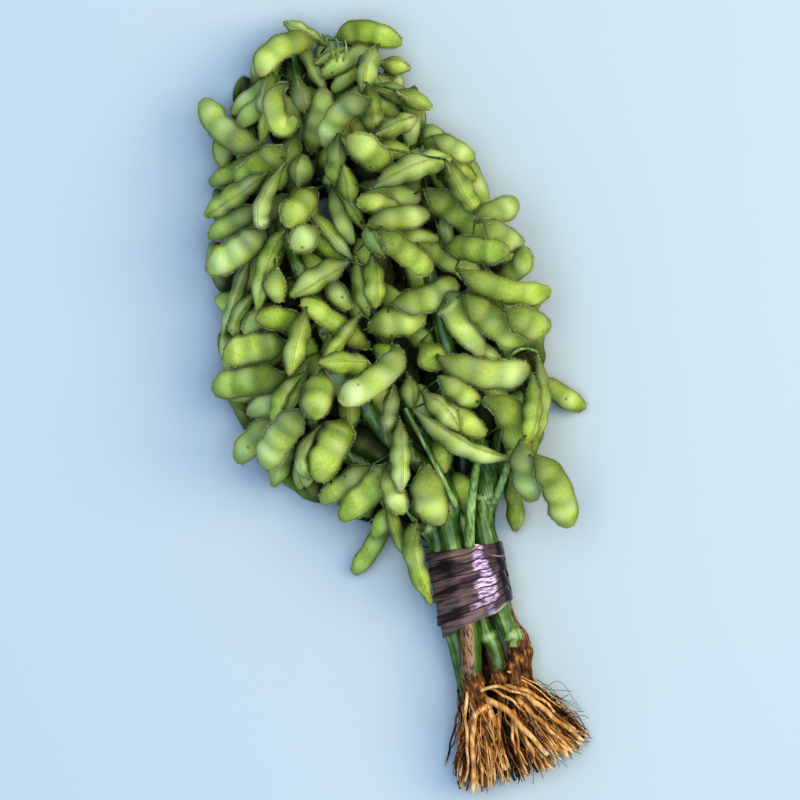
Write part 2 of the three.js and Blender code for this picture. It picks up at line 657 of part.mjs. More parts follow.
// How far the film is from the axis at an angle: the hull of the stems, GAP clear of them.
function wrappedRadius(angle) {
  let least = Infinity;
  for (let i = 0; i < FACINGS; i++) {
    const facing = (2 * Math.PI * i) / FACINGS;
    const cos = Math.cos(angle - facing);
    if (cos < 0.1) continue;
    const held = PACK.map(([x, z]) => x * Math.cos(facing) + z * Math.sin(facing));
    least = Math.min(least, (Math.max(...held) + STEM_R + GAP) / cos);
  }
  return least;
}

// Its section, [distance out from the stems, share of the way from foot to top].
function tapeSection() {
  const section = [[TAPE_EASE, 0]];
  for (let i = 0; i < TAPE_TURNS; i++) {
    section.push([TAPE_WALL, i / TAPE_TURNS]);
    section.push([TAPE_WALL - TAPE_LAP, (i + 0.97) / TAPE_TURNS]);
  }
  return [...section, [TAPE_WALL - TAPE_LAP, 1], [TAPE_EASE, 1]];
}

function tapeSolid() {
  const section = tapeSection();
  const position = [];
  const index = [];
  for (let i = 0; i < TAPE_SIDES; i++) {
    const angle = (2 * Math.PI * i) / TAPE_SIDES;
    const radius = wrappedRadius(angle);
    for (const [out, share] of section) {
      const x = (radius + out) * Math.cos(angle);
      const foot = TAPE_FOOT + 0.25 * x;
      const y = foot + (TAPE_TOP - 0.1 * x - foot) * share;
      position.push(x + axisX(y), y, AXIS_Z + (radius + out) * Math.sin(angle));
    }
  }
  const n = section.length;
  for (let i = 0; i < TAPE_SIDES; i++)
    for (let j = 0; j < n; j++) {
      const [a, b] = [i * n + j, i * n + ((j + 1) % n)];
      const [c, d] = [a, b].map((v) => (v + n) % (n * TAPE_SIDES));
      index.push(a, b, c, b, d, c);
    }
  const g = new THREE.BufferGeometry();
  g.setAttribute("position", new THREE.BufferAttribute(Float32Array.from(position), 3));
  g.setIndex(index);
  return solidFrom(g);
}

// A box for cutting away what would lie below the surface.
function belowSurface() {
  const g = new THREE.BoxGeometry(600, 900, 100);
  g.translate(0, 100, -50);
  g.deleteAttribute("normal");
  g.deleteAttribute("uv");
  return solidFrom(mergeVertices(g, 1e-5));
}

const STEM_SAMPLES = 49;
const stemSamples = stemRoutes.map((route) =>
  Array.from({ length: STEM_SAMPLES }, (_, i) => {
    const [x, y, z, radius] = route(i / (STEM_SAMPLES - 1));
    return [x, y, z, radius, radius];
  }),
);

const random = randomFrom(7);
const placed = stemSamples.flat();
const pods = [];
for (const layer of [2, 1, 0])
  for (const row of LAID_PODS.filter((r) => r[2] === layer)) {
    pods.push(layPod(row, placed, random));
  }
for (const zone of HIDDEN_ZONES) pods.push(...scatterPods(zone, placed, random));
const stemParts = stemSamples.flatMap((samples, plant) =>
  samples.map((at, i) => ({ at, plant, pod: null, stem: true, grip: i < STEM_SAMPLES - 3 })),
);
const grown = attachPods(pods, stemParts);

// Joining pods to stems leaves slivers: they are smoothed away, and the plant is the body left.
const SLIVER = 0.03;
function tidied(solid) {
  const bodies = solid.simplify(SLIVER).decompose();
  return bodies.reduce((a, b) => (b.volume() > a.volume() ? b : a));
}

const below = belowSurface();
const solids = {};
stemRoutes.forEach((route, k) => {
  let solid = tube(route, STEM_SIDES, STEM_RINGS);
  for (const pod of grown.filter((p) => p.plant === k)) solid = solid.add(podSolid(pod));
  solids["plant_" + (k + 1)] = tidied(solid.subtract(below));
});
stemRoutes.forEach((_, k) => {
  solids["root_" + (k + 1)] = rootSolid(k, random).subtract(below);
});
solids.tape = tapeSolid().subtract(below);

const PLANT_GREEN = new THREE.MeshStandardMaterial({ color: 0x86ad4a, roughness: 0.75 });
const ROOT_BROWN = new THREE.MeshStandardMaterial({ color: 0xa87840, roughness: 0.9 });
const TAPE_BLACK = new THREE.MeshStandardMaterial({ color: 0x3a3038, roughness: 0.25 });

function meshOf(name, solid, material) {
  const { vertProperties, triVerts } = solid.getMesh();
  const g = new THREE.BufferGeometry();
  g.setAttribute("position", new THREE.BufferAttribute(Float32Array.from(vertProperties), 3));
  g.setIndex(new THREE.BufferAttribute(Uint32Array.from(triVerts), 1));
  g.computeVertexNormals();
  const mesh = new THREE.Mesh(g, material);
  mesh.name = name;
  return mesh;
}

const bunch = new THREE.Group();
for (const [name, solid] of Object.entries(solids)) {
  const material = name === "tape" ? TAPE_BLACK : name.startsWith("root") ? ROOT_BROWN : PLANT_GREEN;
  bunch.add(meshOf(name, solid, material));
}

// The origin is on the surface, under the middle of the bunch.
const box = new THREE.Box3().setFromObject(bunch);
bunch.position.set(-(box.min.x + box.max.x) / 2, -(box.min.y + box.max.y) / 2, -box.min.z);

export default bunch;
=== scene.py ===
"""A bunch of soybean plants with their pods, pulled up, stripped of leaves and tied with plastic tape.

Seven plants lie side by side. Each has a green main stem, thin stalks and fuzzy pods, and ends in a brown
root crown. Sizes are in millimetres until a mesh is made, which turns them to metres.
"""

import math

import bpy
import numpy as np
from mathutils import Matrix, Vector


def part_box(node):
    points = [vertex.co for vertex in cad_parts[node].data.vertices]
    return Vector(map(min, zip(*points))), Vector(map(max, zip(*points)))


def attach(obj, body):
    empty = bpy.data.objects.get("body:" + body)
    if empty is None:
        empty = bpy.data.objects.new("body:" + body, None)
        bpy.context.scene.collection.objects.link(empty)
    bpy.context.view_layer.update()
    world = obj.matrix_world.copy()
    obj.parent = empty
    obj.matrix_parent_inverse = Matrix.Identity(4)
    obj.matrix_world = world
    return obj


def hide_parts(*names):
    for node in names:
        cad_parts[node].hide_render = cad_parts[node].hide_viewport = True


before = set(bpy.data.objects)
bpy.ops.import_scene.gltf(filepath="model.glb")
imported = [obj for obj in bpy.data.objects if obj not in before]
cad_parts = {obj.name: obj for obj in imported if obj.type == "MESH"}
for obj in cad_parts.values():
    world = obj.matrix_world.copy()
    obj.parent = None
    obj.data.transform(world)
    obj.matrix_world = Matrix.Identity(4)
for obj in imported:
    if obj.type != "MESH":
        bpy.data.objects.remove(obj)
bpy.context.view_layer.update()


# ---------------------------------------------------------------------------------------------------
# How the bunch lies: its axis runs along Y, roots at the low end, and the tape holds seven stems in a
# ring of six round one. Everything is set off from the tape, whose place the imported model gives.

# GAP is left between things side by side, SUNK is how far its weight flattens what lies on the surface, and
# LOWEST_STEM is how far the lowest stem is below the axis. The axis and the tape's two ends slant.
MM = 0.001
PLANTS = range(7)
STEM_R = 5.6
GAP = 0.3
TAPE_WALL = 1.4
SUNK = 0.4
TAPE_TOP, TAPE_FOOT = 22.5, -17.0
TOP_SLANT, FOOT_SLANT = 0.1, 0.25
LOWEST_STEM = 12.0
AXIS_X, AXIS_LEAN = 0.3, 0.07
AXIS_Z = LOWEST_STEM + STEM_R + GAP + TAPE_WALL - SUNK
CROWN_Y = [-46, -34, -50, -46, -36, -48, -44]

# Where each stem stands in the tape, as x and z off the bunch's axis.
PACK = np.array([(-6, 11.5), (13, 7.5), (-14.6, 3), (2, 0.6), (14.2, -5), (-9, -8.5), (3, -LOWEST_STEM)])

# How far each has strayed from there by the time it turns to root.
STRAY = np.array([(-3, 0), (1.5, 1), (-2.4, 0), (2.5, 1.9), (3, 2), (0, 0), (0, 0)])


def axis_x(y):
    """Where the bunch's axis is at y: the tied part leans a little."""
    return AXIS_X + AXIS_LEAN * y


def wrapped_radius(angle, more=()):
    """How far something pulled tight round the stems, and round more, is from the axis at an angle.

    Each facing has a straight line that touches the stem furthest out. The nearest line wins.
    """
    facing = np.radians(np.arange(360))
    circles = np.array([(x, z, STEM_R) for x, z in PACK] + list(more))
    reach = circles[:, :2] @ np.array([np.cos(facing), np.sin(facing)]) + circles[:, 2:] + GAP
    cos = np.cos(np.atleast_1d(angle)[:, None] - facing)
    return np.where(cos < 0.1, np.inf, reach.max(axis=0) / np.maximum(cos, 0.1)).min(axis=1)


def tape_ends(x):
    """The tape's foot and top at x off its axis: both ends slant."""
    return TAPE_FOOT + FOOT_SLANT * x, TAPE_TOP - TOP_SLANT * x


# The model's own zero is under the middle of the whole bunch, so this is how far it stands from the
# tape's: the corners of the model's 32-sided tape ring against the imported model's box.
corner_turn = 2 * math.pi * np.arange(32) / 32
corner_x = np.outer(wrapped_radius(corner_turn) + TAPE_WALL, [1, 1]) * np.cos(corner_turn)[:, None]
corner_y = np.column_stack(tape_ends(corner_x[:, 0]))
corner_x = corner_x + axis_x(corner_y)
tape_low, tape_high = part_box("tape")
SHIFT = np.array(
    [
        (tape_low[0] + tape_high[0]) / 2 / MM - (corner_x.min() + corner_x.max()) / 2,
        (tape_low[1] + tape_high[1]) / 2 / MM - (corner_y.min() + corner_y.max()) / 2,
        0.0,
    ]
)


def through(points, t):
    """The smooth curve through 2, 3 or 4 points, by Lagrange's formula, at the values t from 0 to 1."""
    points = np.asarray(points, float)
    last = len(points) - 1
    total = np.zeros((len(t), points.shape[1]))
    for i, point in enumerate(points):
        weight = np.ones(len(t))
        for j in range(last + 1):
            if j != i:
                weight = weight * (t * last - j) / (i - j)
        total += weight[:, None] * point
    return total


def route_through(points, t):
    """A uniform Catmull-Rom spline through [x, y, z, radius] points, its ends mirrored."""
    points = np.asarray(points, float)
    padded = np.vstack([2 * points[0] - points[1], points, 2 * points[-1] - points[-2]])
    count = len(points) - 1
    i = np.minimum(count - 1, np.floor(t * count)).astype(int)
    u = (t * count - i)[:, None]
    return (
        (-u / 2 + u**2 - u**3 / 2) * padded[i]
        + (1 - 2.5 * u**2 + 1.5 * u**3) * padded[i + 1]
        + (u / 2 + 2 * u**2 - 1.5 * u**3) * padded[i + 2]
        + (u**3 / 2 - u**2 / 2) * padded[i + 3]
    )


def random_from(seed):
    """Seeded random numbers from 0 to 1, the same draws as the model's source makes."""
    state = seed

    def draw():
        """The next number: the state steps on and its bits are mixed."""
        nonlocal state
        state = (state + 0x6D2B79F5) & 0xFFFFFFFF
        t = ((state ^ (state >> 15)) * (state | 1)) & 0xFFFFFFFF
        t ^= (t + (((t ^ (t >> 7)) * (t | 61)) & 0xFFFFFFFF)) & 0xFFFFFFFF
        return ((t ^ (t >> 14)) & 0xFFFFFFFF) / 4294967296

    return draw


# Each stem's route from the tape up through the head: x, y, z and radius.
STEM_ROUTES = [
    [(-1, 58, 35, 5.2), (-28, 105, 42, 4.8), (-44, 180, 42, 3.8), (-52, 245, 30, 2.6), (-50, 280, 22, 1.6)],
    [(25, 60, 31, 5.2), (20, 105, 41, 4.8), (22, 180, 42, 3.8), (14, 245, 32, 2.6), (6, 290, 22, 1.6)],
    [(-24, 60, 23, 5.2), (-56, 105, 26, 4.6), (-70, 170, 26, 3.6), (-68, 225, 22, 2.4), (-66, 258, 17, 1.5)],
    [(4, 60, 20, 5.2), (-8, 105, 27, 5), (-14, 190, 28, 4), (-20, 270, 20, 2.8), (-18, 312, 12, 1.4)],
    [(31, 62, 18, 5.2), (48, 105, 24, 4.6), (52, 160, 27, 3.6), (40, 215, 24, 2.4), (24, 249, 17, 1.7)],
    [(-16, 60, 11.5, 5.2), (-34, 105, 14, 4.6), (-44, 150, 14, 3.6), (-44, 200, 14, 2.4), (-44, 240, 13, 1.5)],
    [(12, 60, 9, 5.2), (22, 105, 13, 4.6), (24, 150, 14, 3.6), (14, 200, 14, 2.4), (8, 240, 13, 1.5)],
]


def stem_points(k):
    """The points of stem k's whole route, from the root crown up."""
    low = [(PACK[k] + STRAY[k], y) for y in (CROWN_Y[k], CROWN_Y[k] + 3)]
    tied = [(PACK[k], y) for y in (-22, 16, 34)]
    return [(x + axis_x(y), y, AXIS_Z + z, STEM_R) for (x, z), y in low + tied] + STEM_ROUTES[k]


# ---------------------------------------------------------------------------------------------------
# Where the pods lie: the ones that show from above are listed on a sheet ruled in steps of
# 0.54 mm, y towards the roots, with the tape's middle at TIE and the bunch leaning 15 degrees.

STEP = 0.54
TIE = (472, 590)
LEAN = math.radians(15)


def from_sheet(x, y):
    """A point of the sheet as x and y on the surface."""
    dx, dy = (x - TIE[0]) * STEP, (y - TIE[1]) * STEP
    return (
        dx * math.cos(LEAN) - dy * math.sin(LEAN),
        -dx * math.sin(LEAN) - dy * math.cos(LEAN),
    )


# The head's outline at each y: half its width, its middle, and the height of its core, which falls to
# CORE_EDGE at the outline.
HEAD_Y = [20, 40, 60, 80, 100, 143, 180, 210, 240, 270, 294, 318]
HEAD_HALF = [28, 42, 58, 78, 86, 93, 84, 78, 69, 58, 50, 24]
HEAD_MIDDLE = [0, 0, -3, -6, -12, -12, -12, -15, -17, -18, -13, -8]
CORE_HEIGHT = [22, 28, 34, 40, 44, 45, 43, 39, 34, 27, 20, 12]
CORE_EDGE = 9


def core_height(x, y):
    """Height of the head's core under a point: a flattened dome."""
    half = np.interp(y, HEAD_Y, HEAD_HALF)
    u = np.minimum(1, np.abs(x - np.interp(y, HEAD_Y, HEAD_MIDDLE)) / half)
    dome = np.sqrt(np.maximum(0, 1 - u**2.4))
    return CORE_EDGE + (np.interp(y, HEAD_Y, CORE_HEIGHT) - CORE_EDGE) * dome


# Rows: beans, face (F lies flat, S stands on its seam, E points up), layer (0 is on top), width in
# steps, then x and y of the base, of any points on a bend, and of the tip.
LAID_PODS = [
    # the tip of the head
    [2, "S", 0, 16, 318, 38, 283, 18],
    [3, "F", 0, 24, 318, 40, 280, 46, 256, 75],
    [2, "F", 2, 18, 268, 80, 228, 109],
    [2, "F", 2, 20, 264, 98, 233, 124],
    [3, "F", 0, 25, 262, 148, 225, 130, 206, 95],
    [2, "S", 1, 14, 274, 73, 264, 95, 268, 113],
    [2, "S", 1, 14, 270, 112, 260, 143],
    [2, "F", 0, 22, 291, 85, 273, 103, 280, 126, 299, 118],
    [1, "S", 0, 18, 298, 83, 304, 111],
    [2, "S", 1, 14, 309, 58, 325, 90],
    [3, "F", 0, 22, 310, 152, 328, 88],
    [1, "S", 1, 14, 343, 50, 316, 61],
    [2, "F", 1, 18, 356, 54, 321, 72],
    [2, "F", 2, 18, 350, 70, 330, 88],
    [3, "F", 0, 22, 335, 37, 365, 30, 399, 46],
    [1, "S", 0, 17, 378, 60, 411, 64],
    [2, "S", 0, 20, 374, 53, 362, 93],
    [2, "F", 1, 20, 368, 90, 343, 108],
    [2, "S", 0, 22, 368, 89, 375, 136],
    [2, "F", 1, 20, 378, 94, 395, 117],
    [2, "S", 1, 20, 378, 91, 402, 95, 417, 116],
    [1, "S", 1, 17, 408, 97, 433, 108],
    [2, "S", 0, 20, 381, 135, 418, 117],
    [2, "F", 2, 18, 412, 112, 408, 146],
    [3, "F", 0, 24, 372, 104, 342, 118, 324, 149],
    [2, "S", 0, 20, 338, 142, 334, 186],
    [2, "F", 0, 28, 393, 172, 352, 137],
    [1, "S", 1, 19, 384, 149, 410, 150],
    [2, "F", 0, 22, 441, 160, 430, 121],
    [2, "F", 0, 20, 445, 144, 474, 160],
    [1, "F", 1, 18, 455, 165, 474, 180],
    [2, "F", 2, 18, 474, 178, 485, 206],
    # the left side
    [1, "F", 1, 19, 222, 137, 218, 165],
    [2, "F", 2, 18, 238, 165, 206, 179],
    [3, "F", 0, 27, 284, 150, 236, 187],
    [3, "S", 0, 22, 270, 173, 203, 217],
    [2, "F", 1, 20, 250, 212, 206, 235],
    [3, "F", 2, 24, 265, 212, 221, 246],
    [3, "F", 0, 28, 264, 228, 240, 252, 205, 266],
    [3, "S", 0, 17, 288, 163, 263, 208, 268, 229],
    [2, "F", 1, 20, 288, 150, 272, 188],
    [2, "F", 1, 24, 258, 268, 232, 288],
    [3, "S", 0, 20, 288, 228, 268, 262, 258, 313],
    [1, "F", 0, 20, 276, 267, 277, 303],
    [3, "S", 1, 14, 238, 290, 221, 336],
    [2, "S", 1, 14, 253, 298, 236, 318, 243, 339],
    [1, "F", 1, 20, 258, 318, 242, 332],
    [2, "F", 0, 22, 292, 324, 258, 315],
    [3, "F", 0, 28, 288, 345, 222, 354],
    [2, "F", 2, 20, 272, 352, 238, 378],
    [3, "F", 0, 28, 287, 376, 210, 386],
    [3, "F", 1, 20, 286, 382, 225, 396],
    [2, "F", 1, 22, 287, 393, 245, 411],
    [3, "S", 0, 15, 306, 372, 280, 400, 282, 429],
    [2, "S", 1, 14, 300, 378, 285, 417],
    [2, "F", 1, 24, 272, 424, 234, 461],
    [3, "F", 0, 29, 303, 409, 261, 465],
    [2, "S", 1, 20, 284, 455, 270, 489],
    [1, "F", 2, 14, 302, 460, 296, 489],
    [1, "F", 2, 14, 306, 470, 303, 487],
    # the middle, from the tip down
    [1, "S", 0, 24, 298, 190, 303, 153],
    [2, "F", 0, 27, 311, 195, 284, 226],
    [1, "E", 0, 26, 320, 230, 290, 246],
    [3, "S", 1, 14, 311, 212, 352, 260],
    [2, "S", 0, 24, 350, 262, 322, 276, 290, 298],
    [1, "S", 0, 18, 352, 204, 345, 171],
    [2, "S", 1, 14, 350, 203, 364, 229],
    [2, "F", 2, 18, 340, 212, 350, 245],
    [2, "F", 2, 18, 320, 240, 345, 262],
    [1, "F", 1, 18, 333, 288, 348, 311],
    [3, "F", 1, 20, 356, 338, 303, 297],
    [2, "S", 0, 22, 306, 308, 290, 374],
    [2, "F", 0, 28, 322, 372, 313, 419],
    [2, "F", 1, 20, 332, 370, 335, 397],
    [2, "S", 0, 22, 366, 366, 322, 362],
    [2, "S", 1, 14, 340, 341, 322, 366],
    [3, "F", 0, 27, 392, 345, 388, 368, 362, 388, 338, 397],
    [1, "S", 1, 20, 350, 398, 349, 431],
    [3, "F", 0, 31, 345, 420, 335, 442, 313, 479],
    [2, "S", 1, 14, 312, 440, 302, 456, 312, 480],
    [2, "F", 1, 22, 352, 478, 318, 500],
    [3, "F", 0, 27, 390, 462, 376, 486, 337, 517],
    [2, "F", 0, 20, 384, 470, 400, 515],
    [2, "S", 0, 16, 392, 395, 386, 435],
    [3, "S", 0, 20, 400, 418, 401, 493],
    [2, "F", 0, 32, 424, 464, 436, 527],
    [1, "S", 1, 20, 440, 447, 446, 473],
    [1, "S", 0, 18, 408, 374, 412, 408],
    [1, "E", 0, 28, 422, 342, 441, 371],
    [2, "F", 0, 30, 367, 329, 427, 320],
    [3, "F", 0, 27, 391, 304, 428, 298, 458, 281],
    [2, "S", 0, 22, 372, 254, 376, 309],
    [2, "S", 1, 18, 359, 273, 369, 317],
    [1, "S", 0, 20, 365, 228, 383, 254],
    [2, "F", 0, 21, 396, 214, 359, 198],
    [2, "F", 0, 23, 368, 226, 430, 216],
    [2, "F", 1, 18, 400, 232, 438, 243],
    [3, "F", 0, 20, 415, 244, 450, 262, 478, 277],
    [3, "F", 0, 24, 386, 240, 431, 274],
    [1, "S", 1, 14, 444, 221, 450, 251],
    [3, "S", 0, 26, 372, 192, 412, 170, 453, 159],
    [2, "F", 1, 24, 378, 190, 420, 203],
    [3, "F", 0, 26, 424, 190, 445, 207, 465, 222, 495, 246],
    [3, "S", 0, 21, 447, 167, 479, 217],
    [3, "F", 0, 28, 436, 357, 485, 374, 531, 371],
    [1, "S", 1, 20, 488, 384, 508, 400],
    [1, "S", 1, 14, 478, 346, 503, 363],
    [2, "F", 0, 20, 438, 377, 478, 406],
    [2, "S", 0, 22, 421, 391, 460, 430],
    [2, "F", 1, 22, 455, 410, 483, 438],
    [2, "F", 0, 28, 445, 299, 456, 311, 480, 358],
    [3, "F", 0, 29, 463, 296, 525, 345],
    [2, "F", 0, 30, 480, 402, 508, 412, 518, 435, 510, 458],
    [3, "S", 0, 19, 412, 409, 442, 434, 472, 451, 511, 457],
    # the right side
    [2, "F", 0, 24, 480, 221, 519, 204],
    [2, "F", 0, 23, 488, 228, 521, 250],
    [2, "F", 0, 22, 495, 278, 518, 270, 526, 249],
    [3, "F", 0, 24, 455, 250, 507, 257],
    [3, "F", 0, 23, 455, 270, 505, 294, 551, 294],
    [3, "F", 1, 20, 485, 300, 541, 307],
    [2, "F", 0, 28, 503, 311, 548, 332],
    [2, "F", 1, 20, 543, 384, 586, 411],
    [3, "S", 0, 15, 536, 352, 543, 400, 533, 443],
    [3, "S", 0, 18, 531, 374, 533, 410, 525, 447],
    [2, "F", 0, 28, 519, 440, 528, 502],
    [3, "F", 0, 28, 532, 455, 556, 490, 563, 528],
    [2, "S", 1, 18, 508, 468, 516, 505, 517, 535],
    # hanging over the stems near the tape
    [3, "S", 0, 20, 417, 521, 413, 552, 432, 608],
    [3, "F", 2, 18, 388, 506, 376, 545, 350, 574],
    [1, "F", 2, 14, 389, 510, 371, 537],
    [2, "S", 2, 14, 390, 512, 408, 560],
]

# A pod's length by its number of beans, and how far the base of one that points up is below its tip.
POD_LENGTH = [0, 27, 41, 54]
DIP = 14
UP = np.array([0.0, 0.0, 1.0])


def unit(v):
    """The vector at length 1."""
    return v / math.sqrt(v @ v)


# Half sizes: the hidden breadth of a pod on its seam and the hidden thickness of a flat one, as a share of
# the width that shows, with the least and the most. Then the least half width that shows, and how far
# behind its base its stalk would come from.
BROAD_SHARE, LEAST_BROAD, MOST_BROAD = 0.62, 5.8, 7.6
THIN_SHARE, LEAST_THIN, MOST_THIN = 0.37, 4.2, 5.6
LEAST_ON_SEAM, LEAST_FLAT = 3.9, 5
BEHIND = 5


class Pod:
    """A pod: its curve, the half width of its flat side, its half thickness and the way that it faces."""

    def __init__(self, beans, face, points, width, roll, covered):
        """A flat pod faces up and one on its seam faces aside, and both are rolled a little from there."""
        standing = face == "S"
        self.beans, self.face, self.points, self.covered = beans, face, np.array(points, float), covered
        if standing:
            self.broad = min(MOST_BROAD, max(LEAST_BROAD, width * BROAD_SHARE))
            self.thin = max(LEAST_ON_SEAM, width / 2)
        else:
            self.broad = max(LEAST_FLAT, width / 2)
            self.thin = min(MOST_THIN, max(LEAST_THIN, width * THIN_SHARE))
        ahead = self.points[-1] - self.points[0]
        self.heading = unit(ahead * (1, 1, 0))
        turn = (math.pi / 2 if standing else 0) + roll
        self.normal = UP * math.cos(turn) + np.cross(UP, self.heading) * math.sin(turn)
        self.stalk, self.plant = None, -1

    def samples(self):
        """[x, y, z, horizontal radius, vertical radius] along the pod's curve."""
        count = 2 * self.beans + 2
        t = (np.arange(count) + 0.5) / count
        size = np.sin(math.pi * np.minimum(0.5, 0.1 + 1.6 * np.minimum(t, 1 - t)))
        flat = self.face != "S"
        wide, tall = (self.broad, self.thin) if flat else (self.thin, self.broad)
        return np.column_stack([through(self.points, t), wide * size, tall * size])

    def lookout(self):
        """A point behind the base, in line with its first stretch."""
        return self.points[0] + BEHIND * unit(self.points[0] - self.points[1])


# How far a pod may lean from base to tip, in how many steps each way, and what a lean costs. OFF_SURFACE is
# its least height over the surface, and FAR_BELOW the lift where there is nothing under it.
MOST_LEAN, LEAN_STEPS, LEAN_COST = 26, 8, 0.04
OFF_SURFACE = 0.5
FAR_BELOW = -1e9


def settle(pod, placed):
    """Lays the pod at its lowest over what is placed, leaning up to MOST_LEAN from base to tip.

    Each lean needs some lift. The one whose middle comes lowest wins, and a lean costs a little.
    """
    s = pod.samples()
    floor = np.maximum(core_height(s[:, 0], s[:, 1]), s[:, 4] + OFF_SURFACE) - s[:, 2]
    across = np.hypot(s[:, None, 0] - placed[None, :, 0], s[:, None, 1] - placed[None, :, 1])
    near = across / (s[:, None, 3] + placed[None, :, 3] + GAP)
    reach = (s[:, None, 4] + placed[None, :, 4] + GAP) * np.sqrt(np.maximum(0, 1 - near**2))
    over = np.where(near < 1, placed[None, :, 2] + reach - s[:, None, 2], FAR_BELOW)
    rises = np.maximum(floor, over.max(axis=1))
    leans = MOST_LEAN * np.arange(-LEAN_STEPS, LEAN_STEPS + 1) / LEAN_STEPS
    share = (np.arange(len(rises)) + 0.5) / len(rises)
    lifts = (rises[None, :] - leans[:, None] * share[None, :]).max(axis=1)
    best = np.argmin(lifts + leans / 2 + np.abs(leans) * LEAN_COST)
    pod.points += UP * (lifts[best] + leans[best] * np.linspace(0, 1, len(pod.points)))[:, None]
    return pod.samples()


def lay_pod(row, draw):
    """A pod of the list of laid pods. A short or covered one runs on under its neighbours at the base."""
    beans, face, layer, width, *sheet = row
    points = [from_sheet(*sheet[i : i + 2]) for i in range(0, len(sheet), 2)]
    length = sum(math.dist(a, b) for a, b in zip(points, points[1:]))
    short = POD_LENGTH[beans] * (0.85 if layer else 0.65) - length
    if short > 0 and face != "E":
        a, b = points[:2]
        more = short / math.dist(a, b)
        points[0] = (a[0] + (a[0] - b[0]) * more, a[1] + (a[1] - b[1]) * more)
    dip = DIP if face == "E" else 0
    points = [(x, y, 0 if i else -dip) for i, (x, y) in enumerate(points)]
    roll = (draw() - 0.5) * (0.9 if face == "S" else 0.6)
    return Pod(beans, face, points, width * STEP, roll, layer == 2)


# Zones of covered pods: pods, tries, height, least and most share of the half width, first and last y.
# Height 0 is for pods that lie on the surface.
HIDDEN_ZONES = [
    (34, 2000, 0, 0, 0.9, 58, 304),
    (14, 1500, 19, 0.6, 0.92, 56, 296),
    (6, 1000, 32, 0, 0.7, 60, 300),
]

# More of them for the finished look only. Their height is a share of the height of the head's core. They may
# press in until they are PRESSED times as far apart as when they touch, and none goes below LOWEST_EXTRA.
EXTRA_ZONES = [
    (60, 2500, 0, 0, 0.98, 46, 308),
    (60, 2500, 0.5, 0.2, 0.95, 46, 300),
    (60, 2500, 0.75, 0, 0.9, 50, 300),
    (30, 1500, 0.9, 0, 0.9, 50, 306),
]
PRESSED = 0.72
LOWEST_EXTRA = 3


def is_clear(s, placed, share=1):
    """Whether samples keep off those placed: no two nearer than a share of their radii added up."""
    across = np.hypot(s[:, None, 0] - placed[None, :, 0], s[:, None, 1] - placed[None, :, 1])
    across = across / (s[:, None, 3] + placed[None, :, 3] + GAP)
    up = (s[:, None, 2] - placed[None, :, 2]) / (s[:, None, 4] + placed[None, :, 4] + GAP)
    return (across**2 + up**2).min() >= share**2


HEAD_END = HEAD_Y[-1]
PAST_OUTLINE = 2


def is_inside(s):
    """Whether a pod keeps inside the head's outline."""
    middle, half = np.interp(s[:, 1], HEAD_Y, HEAD_MIDDLE), np.interp(s[:, 1], HEAD_Y, HEAD_HALF)
    past = (np.abs(s[:, 0] - middle) + s[:, 3] - half).max()
    return (s[:, 1] + s[:, 3]).max() < HEAD_END and past < PAST_OUTLINE


def scatter_pods(zone, placed, draw, extra=False):
    """Pods dropped at random into a zone, each kept if it is clear of the others.

    A pod runs along the bunch, turned out the more the further aside it is, and is bowed and tilted a little.
    """
    wanted, tries, height, inner, outer, first, last = zone
    made = []
    for _ in range(tries):
        if len(made) == wanted:
            break
        y = first + (last - first) * draw()
        share = inner + (outer - inner) * draw()
        share *= -1 if draw() < 0.5 else 1
        x = np.interp(y, HEAD_Y, HEAD_MIDDLE) + share * np.interp(y, HEAD_Y, HEAD_HALF)
        turn = share * 0.7 + (draw() - 0.5) * 1.6
        beans = (1, 2, 2, 3, 3)[int(draw() * 5)]
        half = POD_LENGTH[beans] * (0.82 + 0.14 * draw()) / 2
        bow = (draw() - 0.5) * 0.3 * half
        tilt = (draw() - 0.4) * 10 if height else 0
        ahead = np.array([math.sin(turn), math.cos(turn), 0])
        side = np.array([ahead[1], -ahead[0], 0])
        width = 12 + 2.4 * draw()
        z = height * core_height(x, y) if extra else height
        middle = np.array([x, y, z])
        base = middle - ahead * half - UP * tilt / 2
        tip = middle + ahead * half + UP * tilt / 2
        points = [base, middle + side * bow, tip]
        pod = Pod(beans, "F", points, width, (draw() - 0.5) * (0.9 if height else 0.2), True)
        if not height:
            pod.points += UP * (pod.thin * 0.87 - SUNK)
        s = pod.samples()
        if not is_inside(s) or (extra and s[:, 2].min() < LOWEST_EXTRA):
            continue
        if is_clear(s, placed[0], PRESSED if extra else 1):
            placed[0] = np.vstack([placed[0], s])
            made.append(pod)
    return made


# A stalk's radius and what it gains to the pod, what hanging on another pod costs, how many places each pod
# tries, and into how many parts a stalk is cut to see what it meets.
STALK_R, STALK_FLARE = 1.5, 1.2
CLUSTER_COST, CLUSTER_RATE = 8, 1.5
TARGETS = 60
STALK_SAMPLES = 8


class Parts:
    """What stalks may grip or must miss: samples with their plant, their pod and whether they hold."""

    def __init__(self):
        """Starts with nothing."""
        self.at = np.zeros((0, 5))
        self.plant, self.pod = np.zeros(0, int), np.zeros(0, int)
        self.stem, self.grip = np.zeros(0, bool), np.zeros(0, bool)
        self.pods = []

    def add(self, at, plant, pod, stem, grip):
        """Adds samples of one stem, pod or stalk."""
        n = len(at)
        self.at = np.vstack([self.at, at])
        self.plant = np.append(self.plant, np.full(n, plant))
        self.pod = np.append(self.pod, np.full(n, pod))
        self.stem = np.append(self.stem, np.full(n, stem))
        self.grip = np.append(self.grip, grip)

    def claim(self, number, plant):
        """Gives a pod and its samples to a plant."""
        self.pods[number].plant = plant
        self.plant[self.pod == number] = plant


